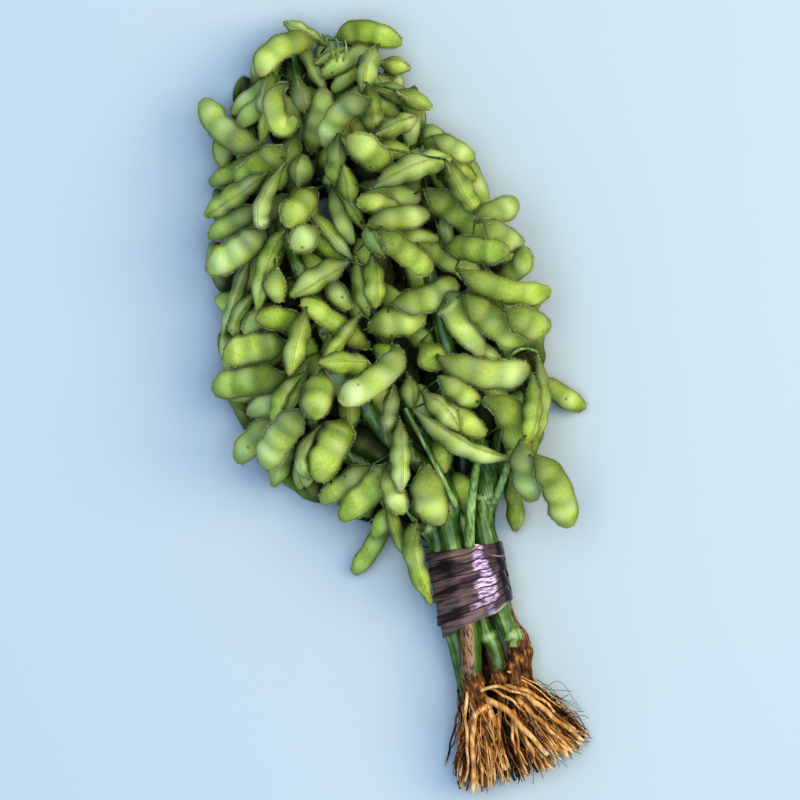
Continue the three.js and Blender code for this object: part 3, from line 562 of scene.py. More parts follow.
def stalk_from(start, pod):
    """Samples along a straight stalk from where it starts to the pod's base."""
    t = np.linspace(0, 1, STALK_SAMPLES + 1)[:, None]
    radius = STALK_R + STALK_FLARE * t
    return np.hstack([start[:3] + (pod.points[0] - start[:3]) * t, radius, radius])


def met_by(stalk, number, plant, parts, may_meet):
    """The pods with no plant yet that a stalk meets, or None where it would touch another plant."""
    if stalk[:, 2].min() < STALK_R:
        return None
    other = (parts.pod != number) & (parts.plant != plant)
    at = parts.at[other]
    across = np.hypot(stalk[:, None, 0] - at[None, :, 0], stalk[:, None, 1] - at[None, :, 1])
    across = across / (at[None, :, 3] + stalk[:, None, 3] + GAP)
    up = (stalk[:, None, 2] - at[None, :, 2]) / (at[None, :, 4] + stalk[:, None, 3] + GAP)
    hit = (across**2 + up**2 < 1).any(axis=0)
    if not hit.any():
        return set()
    if not may_meet or parts.plant[other][hit].max() >= 0:
        return None
    return set(parts.pod[other][hit])


def attach_pods(pods, parts):
    """Gives each pod a stalk to the nearest stem, or pod with a stalk, that it can reach clear."""
    first = len(parts.pods)
    for pod in pods:
        s = pod.samples()
        grip = np.ones(len(s), bool)
        grip[[0, -1]] = False
        parts.pods.append(pod)
        parts.add(s, -1, len(parts.pods) - 1, False, grip)
    stem_at = parts.at[parts.stem][:, :3]
    reach = [np.linalg.norm(stem_at - pod.lookout(), axis=1).min() for pod in pods]
    order = [first + int(i) for i in np.argsort(reach, kind="stable")]
    for may_meet in [False] * 3 + [True] * 3:
        for number in [n for n in order if parts.pods[n].stalk is None]:
            pod = parts.pods[number]
            stalked = np.array([p.stalk is not None for p in parts.pods] + [True])
            held = parts.grip & (parts.plant >= 0) & stalked[parts.pod] & (parts.pod != number)
            if pod.plant >= 0:
                held &= parts.plant == pod.plant
            index = np.flatnonzero(held)
            far = np.linalg.norm(parts.at[index, :3] - pod.lookout(), axis=1)
            cost = np.where(parts.stem[index], far, far * CLUSTER_RATE + CLUSTER_COST)
            for target in index[np.argsort(cost, kind="stable")[:TARGETS]]:
                plant = int(parts.plant[target])
                stalk = stalk_from(parts.at[target], pod)
                met = met_by(stalk, number, plant, parts, may_meet)
                if met is None:
                    continue
                for other in met:
                    parts.claim(other, plant)
                parts.claim(number, plant)
                pod.stalk = parts.at[target, :3].copy()
                parts.add(stalk, plant, number, False, np.zeros(len(stalk), bool))
                break
    return [pod for pod in pods if pod.stalk is not None]


STEM_SAMPLES, BARE_SAMPLES = 49, 3
draw = random_from(7)
parts = Parts()
for k in PLANTS:
    route = route_through(stem_points(k), np.linspace(0, 1, STEM_SAMPLES))
    grip = np.arange(STEM_SAMPLES) < STEM_SAMPLES - BARE_SAMPLES
    parts.add(np.hstack([route, route[:, 3:]]), k, -1, True, grip)
placed = parts.at.copy()
pods = []
for layer in (2, 1, 0):
    for row in [r for r in LAID_PODS if r[2] == layer]:
        pod = lay_pod(row, draw)
        placed = np.vstack([placed, settle(pod, placed)])
        pods.append(pod)
placed = [placed]
for zone in HIDDEN_ZONES:
    pods += scatter_pods(zone, placed, draw)
grown = attach_pods(pods, parts)
extra_draw = random_from(11)
extras = [pod for zone in EXTRA_ZONES for pod in scatter_pods(zone, placed, extra_draw, True)]
held = parts.grip & (parts.plant >= 0)
for pod in extras:
    nearest = np.argmin(np.linalg.norm(parts.at[held, :3] - pod.lookout(), axis=1))
    pod.stalk, pod.plant = parts.at[held][nearest, :3], int(parts.plant[held][nearest])
grown += extras


# ---------------------------------------------------------------------------------------------------
# The surface that the bunch lies on, the soft light from the upper right and the camera straight
# above, which sees 800 steps of the sheet each way.


def linear(hex_colour):
    """A hex sRGB colour as linear red, green, blue and alpha."""
    values = [int(hex_colour[i : i + 2], 16) / 255 for i in (1, 3, 5)]
    return [v / 12.92 if v <= 0.04045 else ((v + 0.055) / 1.055) ** 2.4 for v in values] + [1]


def add_node(tree, kind, inputs=None, stops=(), **settings):
    """Adds a node with its settings. An input is a value, or the output of another node to link.

    The stops are those of a colour ramp, each a place and a hex colour, from low to high.
    """
    made = tree.nodes.new(kind)
    for i, (place, colour) in enumerate(stops):
        stop = made.color_ramp.elements[i] if i < 2 else made.color_ramp.elements.new(place)
        stop.position, stop.color = place, linear(colour)
    for name, value in settings.items():
        setattr(made, name, value)
    for name, value in (inputs or {}).items():
        socket = made.inputs[name]
        if isinstance(value, bpy.types.NodeSocket):
            tree.links.new(value, socket)
        else:
            socket.default_value = value
    return made


def new_material(name):
    """A node material and its empty tree."""
    material = bpy.data.materials.new(name)
    material.use_nodes = True
    material.node_tree.nodes.clear()
    return material, material.node_tree


def finish_material(tree, shader):
    """Links the surface shader to the material's output."""
    add_node(tree, "ShaderNodeOutputMaterial", {"Surface": shader.outputs[0]})


def make_mesh(name, vertices, faces, material, attributes=None):
    """A smooth mesh object at the origin from vertices in millimetres and rows of 3 or 4 corners."""
    mesh = bpy.data.meshes.new(name)
    triangles = faces[faces[:, 3] < 0][:, :3]
    quads = faces[faces[:, 3] >= 0]
    loops = np.concatenate([triangles.ravel(), quads.ravel()])
    totals = np.concatenate([np.full(len(triangles), 3), np.full(len(quads), 4)])
    starts = np.concatenate([[0], np.cumsum(totals)[:-1]])
    mesh.vertices.add(len(vertices))
    mesh.vertices.foreach_set("co", ((vertices + SHIFT) * MM).astype(np.float32).ravel())
    mesh.loops.add(len(loops))
    mesh.loops.foreach_set("vertex_index", loops.astype(np.int32))
    mesh.polygons.add(len(totals))
    mesh.polygons.foreach_set("loop_start", starts.astype(np.int32))
    mesh.polygons.foreach_set("use_smooth", np.ones(len(totals), bool))
    mesh.update(calc_edges=True)
    for key, values in (attributes or {}).items():
        attribute = mesh.attributes.new(key, "FLOAT", "POINT")
        attribute.data.foreach_set("value", np.asarray(values, np.float32))
    mesh.materials.append(material)
    made = bpy.data.objects.new(name, mesh)
    bpy.context.scene.collection.objects.link(made)
    return made


scene = bpy.context.scene
scene.view_settings.view_transform = "Standard"
scene.view_settings.look = "High Contrast"

camera_data = bpy.data.cameras.new("camera")
camera = bpy.data.objects.new("camera", camera_data)
scene.collection.objects.link(camera)
scene.camera = camera
CAMERA_HEIGHT = 3.0
MIDDLE_HEIGHT = 0.05
SENSOR = 36
SEEN = 800
VIEW_WIDTH = SEEN * STEP * MM
view_x, view_y = from_sheet(SEEN / 2, SEEN / 2)
camera.location = ((view_x + SHIFT[0]) * MM, (view_y + SHIFT[1]) * MM, CAMERA_HEIGHT)
camera.rotation_euler = (0, 0, -LEAN)
camera_data.sensor_width = SENSOR
camera_data.lens = SENSOR * (CAMERA_HEIGHT - MIDDLE_HEIGHT) / VIEW_WIDTH
camera_data.clip_end = 60

# A board with matt pale paint. It shows as an even tone, under a stipple of about 1 mm from the roller.
floor_material, tree = new_material("painted board")
coord = add_node(tree, "ShaderNodeTexCoord")
speckle = add_node(tree, "ShaderNodeTexNoise", {"Vector": coord.outputs["Object"], "Scale": 900, "Detail": 3})
bump = add_node(tree, "ShaderNodeBump", {"Height": speckle.outputs[0], "Strength": 0.06, "Distance": 0.0005})
board = add_node(
    tree,
    "ShaderNodeBsdfPrincipled",
    {"Base Color": linear("#BECABD"), "Roughness": 0.7, "Normal": bump.outputs[0]},
)
finish_material(tree, board)
FLOOR_HALF = 20000.0
corners = FLOOR_HALF * np.array([(-1, -1, 0), (1, -1, 0), (1, 1, 0), (-1, 1, 0)])
floor = make_mesh("floor", corners, np.array([[0, 1, 2, 3]]), floor_material)

world = bpy.data.worlds.new("room")
scene.world = world
world.use_nodes = True
room = world.node_tree.nodes["Background"]
room.inputs["Color"].default_value = linear("#A4BCFF")
room.inputs["Strength"].default_value = 0.6


def add_light(name, place, size, power, colour):
    """A square soft light that faces the bunch."""
    data = bpy.data.lights.new(name, "AREA")
    data.size, data.energy, data.color = size, power, linear(colour)[:3]
    light = bpy.data.objects.new(name, data)
    scene.collection.objects.link(light)
    aim = np.array([0, 0, MIDDLE_HEIGHT]) - place
    light.location = place
    light.rotation_euler = (
        math.atan2(math.hypot(aim[0], aim[1]), -aim[2]),
        0,
        math.atan2(aim[1], aim[0]) - math.pi / 2,
    )


def in_view(right, up, height):
    """A place by the camera's right and up, in metres."""
    turn = -LEAN
    x = right * math.cos(turn) - up * math.sin(turn)
    return np.array([x, right * math.sin(turn) + up * math.cos(turn), height])


add_light("sky panel", in_view(0.0, 0.1, 2.3), 1.6, 31.5, "#DAE5FF")
add_light("window", in_view(1.3, 0.25, 1.6), 1.3, 18, "#FFE8B4")


# ---------------------------------------------------------------------------------------------------
# The stems: seven green soybean stems, ridged and smooth, a little swollen at each node, where a snapped
# leaf stalk left a stub and a brown scar. Towards the roots the skin turns to brown, stringy bark.


def skin_of(rows, columns):
    """Faces of a closed surface: a pole, rows of columns points each, and a second pole."""
    row, column = np.meshgrid(np.arange(rows - 1), np.arange(columns), indexing="ij")
    after = (column + 1) % columns
    first = 1 + row * columns
    quads = np.stack([first + column, first + after, first + columns + after, first + columns + column], -1)
    ring = np.arange(columns)
    ahead = (ring + 1) % columns
    last = 1 + (rows - 1) * columns
    none = np.full(columns, -1)
    low = np.stack([np.zeros(columns, int), 1 + ahead, 1 + ring, none], -1)
    high = np.stack([np.full(columns, last + columns), last + ring, last + ahead, none], -1)
    return np.vstack([low, quads.reshape(-1, 4), high])


def put_together(pieces):
    """Joins pairs of vertices and faces, each numbered from 0, into one pair."""
    starts = np.cumsum([0] + [len(v) for v, _ in pieces[:-1]])
    faces = [np.where(f < 0, -1, f + s) for (_, f), s in zip(pieces, starts)]
    return np.vstack([v for v, _ in pieces]), np.vstack(faces)


def frames_along(points, facing):
    """Directions across a route, wide and tall, square to it, with tall as near to facing as it can be."""
    along = np.gradient(points, axis=-2)
    along /= np.linalg.norm(along, axis=-1, keepdims=True)
    tall = facing - along * (along * facing).sum(-1, keepdims=True)
    tall /= np.linalg.norm(tall, axis=-1, keepdims=True)
    return np.cross(along, tall), tall, along


def tubes(paths, radii, columns):
    """Closed tubes: round each path, a ring of points at its radius, and a pole in each end."""
    paths, radii = np.asarray(paths, float), np.asarray(radii, float)
    count, rows = radii.shape
    ahead = paths[:, -1] - paths[:, 0]
    upright = np.abs(ahead[:, 2]) > 0.8 * np.linalg.norm(ahead, axis=1)
    facing = np.where(upright[:, None], (1.0, 0.1, 0.1), (0.02, 0.03, 1.0))[:, None]
    wide, tall, _ = frames_along(paths, facing)
    turn = 2 * math.pi * np.arange(columns) / columns
    across = wide[:, :, None] * np.cos(turn)[:, None] + tall[:, :, None] * np.sin(turn)[:, None]
    ring = paths[:, :, None] + radii[:, :, None, None] * across
    vertices = np.concatenate([paths[:, :1], ring.reshape(count, -1, 3), paths[:, -1:]], 1)
    faces = skin_of(rows, columns)
    step = vertices.shape[1] * np.arange(count)[:, None, None]
    faces = np.where(faces < 0, -1, faces + step).reshape(-1, 4)
    return vertices.reshape(-1, 3), faces


def per_tube(values, rows, columns):
    """One value, or one for each row, for every vertex of a set of tubes."""
    values = np.asarray(values, float)
    if values.ndim == 1:
        values = np.repeat(values[:, None], rows, 1)
    rings = np.repeat(values, columns, 1)
    return np.hstack([values[:, :1], rings, values[:, -1:]]).ravel()


# Nodes: the gap from one to the next, how long and how big the swelling is, and how the scars swing round
# the stem from node to node. Each stem has NODES_ABOVE of them above the tape, and LOW_NODE is one below
# it, or -90, past the stem's end, where none shows.
STEM_ROWS, STEM_COLUMNS = 190, 20
NODE_GAP, NODE_LONG, NODE_SWELL = 36, 2.4, 0.16
NODE_SWING, NODE_TURN = 1.2, 2.4
NODES_ABOVE = 8
FIRST_NODE = [47, 46, 38, 55, 50, 42, 50]
LOW_NODE = [-90, -31, -90, -28, -90, -90, -90]

# Where the bark begins on each stem, the stem with bark on one side only, the one with it at both edges, and
# those with a ring of it at the crown.
BARK_TOP = [-12, -36, -62, -34, -14, -40, -20]
HALF_BARKED, EDGE_BARKED, RINGED = 0, 3, (1, 4)

# At a node below STUBS_END: the radius of the leaf stalk's stub or of a dry scale, its taper and how brown
# it is on the way. Then how far the stub and its three scales are turned from the scar, and their lengths.
STUBS_END = 100
STUB = (2.3, (1.15, 1, 0.95, 0.95, 0.85), (0.1, 0.2, 0.3, 0.5, 0.8))
DRY_SCALE = (0.9, (1, 0.9, 0.7, 0.4, 0.1), (0.6, 0.7, 0.8, 0.9, 1.0))
STUB_ROWS, STUB_COLUMNS = 5, 10
STUB_TURNS = (0, 0.5, -0.5, 0.9)
STUB_LONG = (4.5, 3.2, 3.6, 2.6)

# The least height of any point over the surface that the bunch lies on.
SURFACE_GAP = 0.03
detail = np.random.default_rng(2)
STEM_PAINT = ("scar", "bark", "pale")

# The skin of a green stem: smooth, with a waxy gloss, and streaked lengthwise in yellow-green and dark green
# about every 1.4 by 20 mm. Lower down it gives way, with a ragged edge, to stringy brown bark, whose fibres
# are drawn at 1 by 4 mm, coarser than real ones, so that they show.
green_skin, tree = new_material("soybean stem skin")
coord = add_node(tree, "ShaderNodeTexCoord").outputs["Object"]
scar, bark, pale = [
    add_node(tree, "ShaderNodeAttribute", attribute_name=name).outputs["Fac"] for name in STEM_PAINT
]
drawn_out = add_node(tree, "ShaderNodeMapping", {"Vector": coord, "Scale": (700, 50, 700)}).outputs[0]
streaks = add_node(tree, "ShaderNodeTexNoise", {"Vector": drawn_out, "Scale": 1, "Detail": 4}).outputs[0]
patches = add_node(tree, "ShaderNodeTexNoise", {"Vector": coord, "Scale": 110, "Detail": 3}).outputs[0]
mixed = add_node(tree, "ShaderNodeMath", {0: streaks, 1: patches}, operation="ADD").outputs[0]
# pale lightens the skin at the nodes and on side shoots, and darkens it as painted shade on pod stalks and on
# the stem under the others.
mixed = add_node(tree, "ShaderNodeMath", {0: pale, 1: 0.5, 2: mixed}, operation="MULTIPLY_ADD").outputs[0]
halved = add_node(tree, "ShaderNodeMath", {0: mixed, 1: 0.5}, operation="MULTIPLY").outputs[0]
fresh = add_node(
    tree,
    "ShaderNodeValToRGB",
    {"Fac": halved},
    [(0.36, "#304A18"), (0.54, "#60802E"), (0.78, "#B8CE80")],
).outputs[0]
netted = add_node(tree, "ShaderNodeMapping", {"Vector": coord, "Scale": (1000, 230, 1000)}).outputs[0]
fibres = add_node(tree, "ShaderNodeTexNoise", {"Vector": netted, "Scale": 1, "Detail": 3}).outputs[0]
fibres = add_node(tree, "ShaderNodeMath", {0: pale, 1: 0.15, 2: fibres}, operation="MULTIPLY_ADD").outputs[0]
strings = add_node(
    tree,
    "ShaderNodeValToRGB",
    {"Fac": fibres},
    [(0.36, "#36200E"), (0.46, "#7A5429"), (0.62, "#AC8248")],
).outputs[0]
ragged = add_node(tree, "ShaderNodeMath", {0: mixed, 1: -0.5, 2: 0.5}, operation="MULTIPLY_ADD").outputs[0]
ragged = add_node(tree, "ShaderNodeMath", {0: ragged, 1: bark}, operation="ADD").outputs[0]
ragged = add_node(tree, "ShaderNodeMapRange", {0: ragged, 1: 0.42, 2: 0.58}).outputs[0]
skin = add_node(tree, "ShaderNodeMix", {0: ragged, 6: fresh, 7: strings}, data_type="RGBA").outputs[2]
flecks = add_node(tree, "ShaderNodeTexNoise", {"Vector": coord, "Scale": 520, "Detail": 2}).outputs[0]
torn = add_node(tree, "ShaderNodeMath", {0: flecks, 1: scar}, operation="ADD").outputs[0]
torn = add_node(tree, "ShaderNodeMapRange", {0: torn, 1: 0.95, 2: 1.3}).outputs[0]
skin = add_node(tree, "ShaderNodeMix", {0: torn, 6: skin, 7: linear("#5E4E30")}, data_type="RGBA").outputs[2]
bump = add_node(tree, "ShaderNodeBump", {"Height": streaks, "Strength": 0.5, "Distance": 0.0007}).outputs[0]
stem_shader = add_node(
    tree,
    "ShaderNodeBsdfPrincipled",
    {"Base Color": skin, "Roughness": 0.36, "Specular IOR Level": 0.5, "Normal": bump},
)
finish_material(tree, stem_shader)


# Below the tape, how far each stem bows out to the right, how far it drifts there by its root, the share
# of its thickness that it loses, and over what length. SHADED is the stem under the others, whose skin is
# painted darker, as shade.
BOW_OUT = [0, 2.9, 0, 2.6, 2.9, 0, 0]
BOW_Y, BOW_LONG = -36, 14
DRIFT, DRIFT_LONG = [0, 0, 3.2, 0, 0, 0.8, 0], 35
THINNER, THINNER_FROM = [0, 0.14, 0.34, 0.16, 0, 0, 0], -12
THINNING_LONG = [6, 6, 36, 6, 6, 6, 6]
SHADED = 6


def bowed(k, y):
    """How far stem k is to the right of its route at y: a bump at BOW_Y, and a drift below the tape."""
    bump = np.exp(-(((y - BOW_Y) / BOW_LONG) ** 2))
    return bump * BOW_OUT[k] + np.clip((TAPE_FOOT - y) / DRIFT_LONG, 0, 1) * DRIFT[k]


def ringed_tube(centre, ring, turn):
    """Points of a tube with a radius for each turn round each point of its route, and a pole at each end."""
    wide, tall, _ = frames_along(centre, UP)
    shape = centre[:, None] + wide[:, None] * (ring * np.cos(turn))[:, :, None]
    shape = shape + tall[:, None] * (ring * np.sin(turn))[:, :, None]
    return np.vstack([centre[:1], shape.reshape(-1, 3), centre[-1:]])


def with_poles(values):
    """A value for each point of such a tube, the poles taking theirs from the rows next to them."""
    return np.concatenate([values[:1, 0], values.ravel(), values[-1:, 0]])


def stem_surface(k):
    """Stem k: a tube round its route, with six low ridges and a swelling at each node.

    The scars fade round the stem and along it from each node. The bark sets in over 16 mm below BARK_TOP + 8.
    """
    route = route_through(stem_points(k), np.linspace(0, 1, STEM_ROWS))
    centre, radius = route[:, :3], route[:, 3]
    centre[:, 0] += bowed(k, centre[:, 1])
    radius = radius * (1 - THINNER[k] * np.clip((THINNER_FROM - centre[:, 1]) / THINNING_LONG[k], 0, 1))
    nodes = np.append(LOW_NODE[k], FIRST_NODE[k] + NODE_GAP * np.arange(NODES_ABOVE))
    near = np.exp(-(((centre[:, 1:2] - nodes) / NODE_LONG) ** 2))
    swell = 1 + NODE_SWELL * near.sum(1)
    turn = 2 * math.pi * np.arange(STEM_COLUMNS) / STEM_COLUMNS
    ridges = 1 + 0.03 * np.cos(6 * turn + k) + 0.02 * np.cos(3 * turn + 2 * k)
    ring = (radius * swell)[:, None] * ridges
    vertices = ringed_tube(centre, ring, turn)
    side = np.cos(turn - math.pi / 2 + NODE_SWING * np.sin(NODE_TURN * np.arange(len(nodes)))[:, None])
    scarred = (near[:, 1:, None] * np.clip(side[1:], 0, 1) ** 3).sum(1)
    one_side = np.ones(STEM_COLUMNS)
    if k == HALF_BARKED:
        one_side = np.clip(0.95 - 1.4 * np.cos(turn), 0, 1)
    if k == EDGE_BARKED:
        one_side = np.clip(2.4 * np.abs(np.cos(turn)) - 1, 0, 1)
    fall = np.clip((BARK_TOP[k] + 8 - centre[:, 1]) / 16, 0, 1)[:, None] * one_side
    if k in RINGED:
        fall = np.maximum(fall, np.clip((CROWN_Y[k] + 4 - centre[:, 1]) / 6, 0, 1)[:, None])
    # Pale rings at the nodes, and painted shade that darkens the whole skin of the stem under the others.
    pale_rings_and_shade = near.sum(1)[:, None] * np.ones(STEM_COLUMNS) * 0.7 - (k == SHADED)
    values = [with_poles(v) for v in (scarred, fall, pale_rings_and_shade)]
    return vertices, skin_of(STEM_ROWS, STEM_COLUMNS), values, nodes[1:]


def stubs_at(k, nodes):
    """At each node, the stub of a leaf stalk and three dry scales, as tapered tubes."""
    paths, radii, brown = [], [], []
    route = route_through(stem_points(k), np.linspace(0, 1, STEM_ROWS))
    for number, y in enumerate(nodes[nodes < STUBS_END]):
        at = route[np.argmin(np.abs(route[:, 1] - y))]
        scar_at = math.pi / 2 + NODE_SWING * math.sin(NODE_TURN * (number + 1))
        for part in range(len(STUB_LONG)):
            angle = scar_at + STUB_TURNS[part]
            out = np.array([math.cos(angle), 0, math.sin(angle)])
            start = at[:3] + out * at[3] * 0.8
            long = STUB_LONG[part] * detail.uniform(0.8, 1.3)
            end = start + out * long * 0.7 + np.array([0, long * 0.75, 0])
            thick, taper, browning = DRY_SCALE if part else STUB
            paths.append(start + (end - start) * np.linspace(0, 1, STUB_ROWS)[:, None])
            radii.append(thick * np.array(taper))
            brown.append(browning)
    return tubes(paths, radii, STUB_COLUMNS), per_tube(brown, STUB_ROWS, STUB_COLUMNS)


# Leaf stalks and side shoots that show: stem, radii at the ends, heights, then x and y on the sheet.
SIDE_STALKS = [
    [1, 2.9, 1.9, (36, 43, 50), 470, 547, 472, 500, 479, 455],
    [0, 1.7, 1.2, (41, 47, 52), 457, 508, 437, 468, 405, 408],
    [1, 2.2, 1.8, (31, 37, 40), 493, 505, 504, 478, 510, 450],
    [2, 1.3, 0.9, (22, 25, 26), 412, 558, 394, 524, 378, 498],
    [2, 1.1, 0.8, (30, 33, 36), 420, 530, 408, 514, 398, 505],
    [4, 1.0, 0.7, (48, 54, 52), 508, 359, 521, 349, 537, 352],
    [3, 0.9, 0.5, (38, 44, 40), 334, 60, 330, 46, 322, 33],
    [3, 0.7, 0.4, (40, 46, 44), 336, 62, 338, 46, 334, 36],
    [3, 0.8, 0.4, (38, 42, 40), 340, 64, 346, 50, 344, 38],
    [1, 2.2, 2.7, (30, 32, 33), 514, 640, 514, 645, 514, 649],
]
SIDE_ROWS, SIDE_COLUMNS = 16, 12

# A pod's own stalk: its rows and columns, how far it sags at the most and as a share of its length, and how
# pale it is, which is set low as painted shade, since the stalks run in shade among the pods. Side shoots are
# paler.
STALK_ROWS, STALK_COLUMNS = 6, 7
MOST_SAG, SAG_SHARE = 9, 0.22
STALK_SHADE, SHOOT_PALE = -0.15, 0.5

for k in PLANTS:
    vertices, faces, values, nodes = stem_surface(k)
    stubs, stub_scars = stubs_at(k, nodes)
    pieces = [(vertices, faces), stubs]
    scars, barks, pales_and_shades = [values[0], stub_scars], [values[1], 0 * stub_scars], [values[2], 0 * stub_scars]
    t = np.linspace(0, 1, STALK_ROWS)[:, None]
    stalked = [p for p in grown if p.plant == k]
    spans = [p.points[0] - p.stalk for p in stalked]
    sags = [UP * min(MOST_SAG, SAG_SHARE * np.linalg.norm(s)) * 4 * t * (t - 1) for s in spans]
    lines = [p.stalk + s * t + sag for p, s, sag in zip(stalked, spans, sags)]
    tapers = [0.7 - 0.2 * t[:, 0] + 0.35 * np.clip(t[:, 0] - 0.8, 0, 1) / 0.2 for _ in stalked]
    pieces.append(tubes(lines, tapers, STALK_COLUMNS))
    browned = np.tile(0.35 * (t[:, 0] > 0.9), (len(lines), 1))
    scars.append(per_tube(browned, STALK_ROWS, STALK_COLUMNS))
    for stem, start_r, end_r, heights, *sheet in SIDE_STALKS:
        if stem == k:
            places = [(*from_sheet(*sheet[i : i + 2]), z) for i, z in zip((0, 2, 4), heights)]
            line = through(places, np.linspace(0, 1, SIDE_ROWS))
            pieces.append(tubes([line], [np.linspace(start_r, end_r, SIDE_ROWS)], SIDE_COLUMNS))
            scars.append(np.zeros(len(pieces[-1][0])))
    for at, piece in enumerate(pieces[2:]):
        barks.append(np.zeros(len(piece[0])))
        pales_and_shades.append(np.full(len(piece[0]), SHOOT_PALE if at else STALK_SHADE))
    vertices, faces = put_together(pieces)
    vertices[:, 2] = np.maximum(vertices[:, 2], SURFACE_GAP)
    stem = make_mesh(
        f"stem_{k + 1}",
        vertices,
        faces,
        green_skin,
        {name: np.concatenate(paint) for name, paint in zip(STEM_PAINT, (scars, barks, pales_and_shades))},
    )
    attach(stem, "root")

# ---------------------------------------------------------------------------------------------------
# The pods: two shells joined at two ridged seams, plump over each bean and drawn in between, narrow at the
# stalk and with a short bent beak. The skin is matt and velvety, yellow-green, browner at seams and tip.

# Where along a pod its beans are, how long each one's swell is, and where the beak starts.
BEANS = {1: (0.5,), 2: (0.3, 0.69), 3: (0.21, 0.5, 0.78)}
BEAN_LONG = {1: 0.3, 2: 0.17, 3: 0.118}
BEAK_FROM = 0.945

# Where the neck ends, where the point starts and how sharp it is: a pod on its seam looks more pointed.
SHARP = (0.44, 0.45, 0.8)
BLUNT = {1: (0.5, 0.5, 0.56), 2: (0.38, 0.64, 0.54), 3: (0.3, 0.73, 0.52)}
SHOWN_GRID = (30, 22)
COVERED_GRID = (15, 12)

# What is painted on the skin at each point: its distance off the seam, whether the groove is on its side, how
# far it is sunk between beans, how far along it is, how much it faces aside, which sets a painted shade on its
# sides, the pod's own tint, and how far it is under the head's core, which sets a painted shade that darkens
# inwards.
PAINTED = ("off_seam", "grooved", "hollow", "run", "aside", "tint", "painted_shade_depth")


def bean_swell(t, beans):
    """1 over a bean and falling to about 0 midway between two: a row of smooth bumps."""
    bumps = [np.exp(-(((t - c) / BEAN_LONG[beans]) ** 2)) for c in BEANS[beans]]
    return np.maximum.reduce(bumps)


def pod_surface(pod, rows, columns, bow):
    """A lens-shaped section along the pod's curve, with a rim at both seams. It swells over the beans.

    Its half width is the neck's times the point's, plus the beak's, and its turns crowd near the seams. The
    whole bows a little one way and its tip bends back. It gives the points, what is painted at each, and the
    surface that the down stands on.
    """
    even = (np.arange(rows) + 0.6) / (rows + 0.2)
    t = 0.45 * (1 - np.cos(math.pi * even)) / 2 + 0.55 * even
    centre = through(pod.points, t)
    ahead = pod.points[-1] - pod.points[0]
    upright = abs(ahead[2]) > 0.93 * np.linalg.norm(ahead)
    wide, tall, along = frames_along(centre, np.cross(pod.heading, UP) if upright else pod.normal)
    swell = bean_swell(t, pod.beans)
    neck_end, point_start, sharpness = SHARP if pod.face == "S" else BLUNT[pod.beans]
    neck = 0.15 + 0.85 * np.sin(0.5 * math.pi * np.clip(t / neck_end, 0, 1)) ** 1.2
    point = (1 - np.clip((t - point_start) / (1 - point_start), 0, 1) ** 2.1) ** sharpness
    beak = np.clip((t - BEAK_FROM) / (1 - BEAK_FROM), 0, 1)
    beak_r = 0.75 * np.sin(math.pi * np.clip(beak * 0.9 + 0.1, 0, 1))
    body = neck * point
    straight = pod.broad * body * (0.95 + 0.06 * swell) + beak_r
    bulging = pod.broad * body * (0.84 + 0.2 * swell) + beak_r
    thin_point = (1 - np.clip((t - 0.6) / 0.4, 0, 1) ** 2) ** 0.62
    thin = pod.thin * neck**1.1 * thin_point * (0.78 + 0.3 * swell) + beak_r
    even_turn = 2 * math.pi * (np.arange(columns) + 0.5) / columns
    turn = even_turn - 0.32 * np.sin(2 * even_turn)
    rim = np.exp(-((np.sin(turn) / 0.11) ** 2))
    beside = np.exp(-(((np.abs(np.sin(turn)) - 0.27) / 0.1) ** 2))
    c = np.cos(turn) * (1 + 0.075 * rim)
    s = np.sin(turn) * (1 - 0.16 * np.cos(turn) ** 2) * (1 - 0.1 * beside)
    half = np.where(np.cos(turn) > 0, bulging[:, None], straight[:, None])
    bend = pod.broad * (bow * 4 * t * (1 - t) - 0.25 * t**6)
    centre = centre + wide * bend[:, None]
    ring = centre[:, None] + wide[:, None] * (half * c)[:, :, None]
    ring = ring + tall[:, None] * (thin[:, None] * s)[:, :, None]
    base = centre[0] - along[0] * 0.3
    tip = centre[-1] + along[-1] * 1.1 - wide[-1] * 0.6
    vertices = np.vstack([base, ring.reshape(-1, 3), tip])
    outward = wide[:, None] * (np.cos(turn) / np.maximum(half, 0.5))[:, :, None]
    outward = outward + tall[:, None] * (np.sin(turn) / np.maximum(thin[:, None], 0.5))[:, :, None]
    outward /= np.linalg.norm(outward, axis=2)[:, :, None]
    off_seam = thin[:, None] * np.abs(s)
    grooved = np.broadcast_to(np.sin(2 * turn) > 0, (rows, columns)).astype(float)
    hollow = (1 - swell)[:, None] * np.abs(np.sin(turn))
    run = np.broadcast_to(t[:, None], (rows, columns))
    # Painted shade: the more the skin faces sideways or down, away from the light above, the darker it is
    # painted.
    aside = np.clip(0.85 - outward[:, :, 2], 0, 1)
    pads = ((off_seam, 0, 0), (grooved, 0, 0), (hollow, 1, 0), (run, 0, 1), (aside, 1, 0.5))
    values = [np.concatenate([[a], v.ravel(), [b]]) for v, a, b in pads]
    return vertices, values, (ring, outward, along)


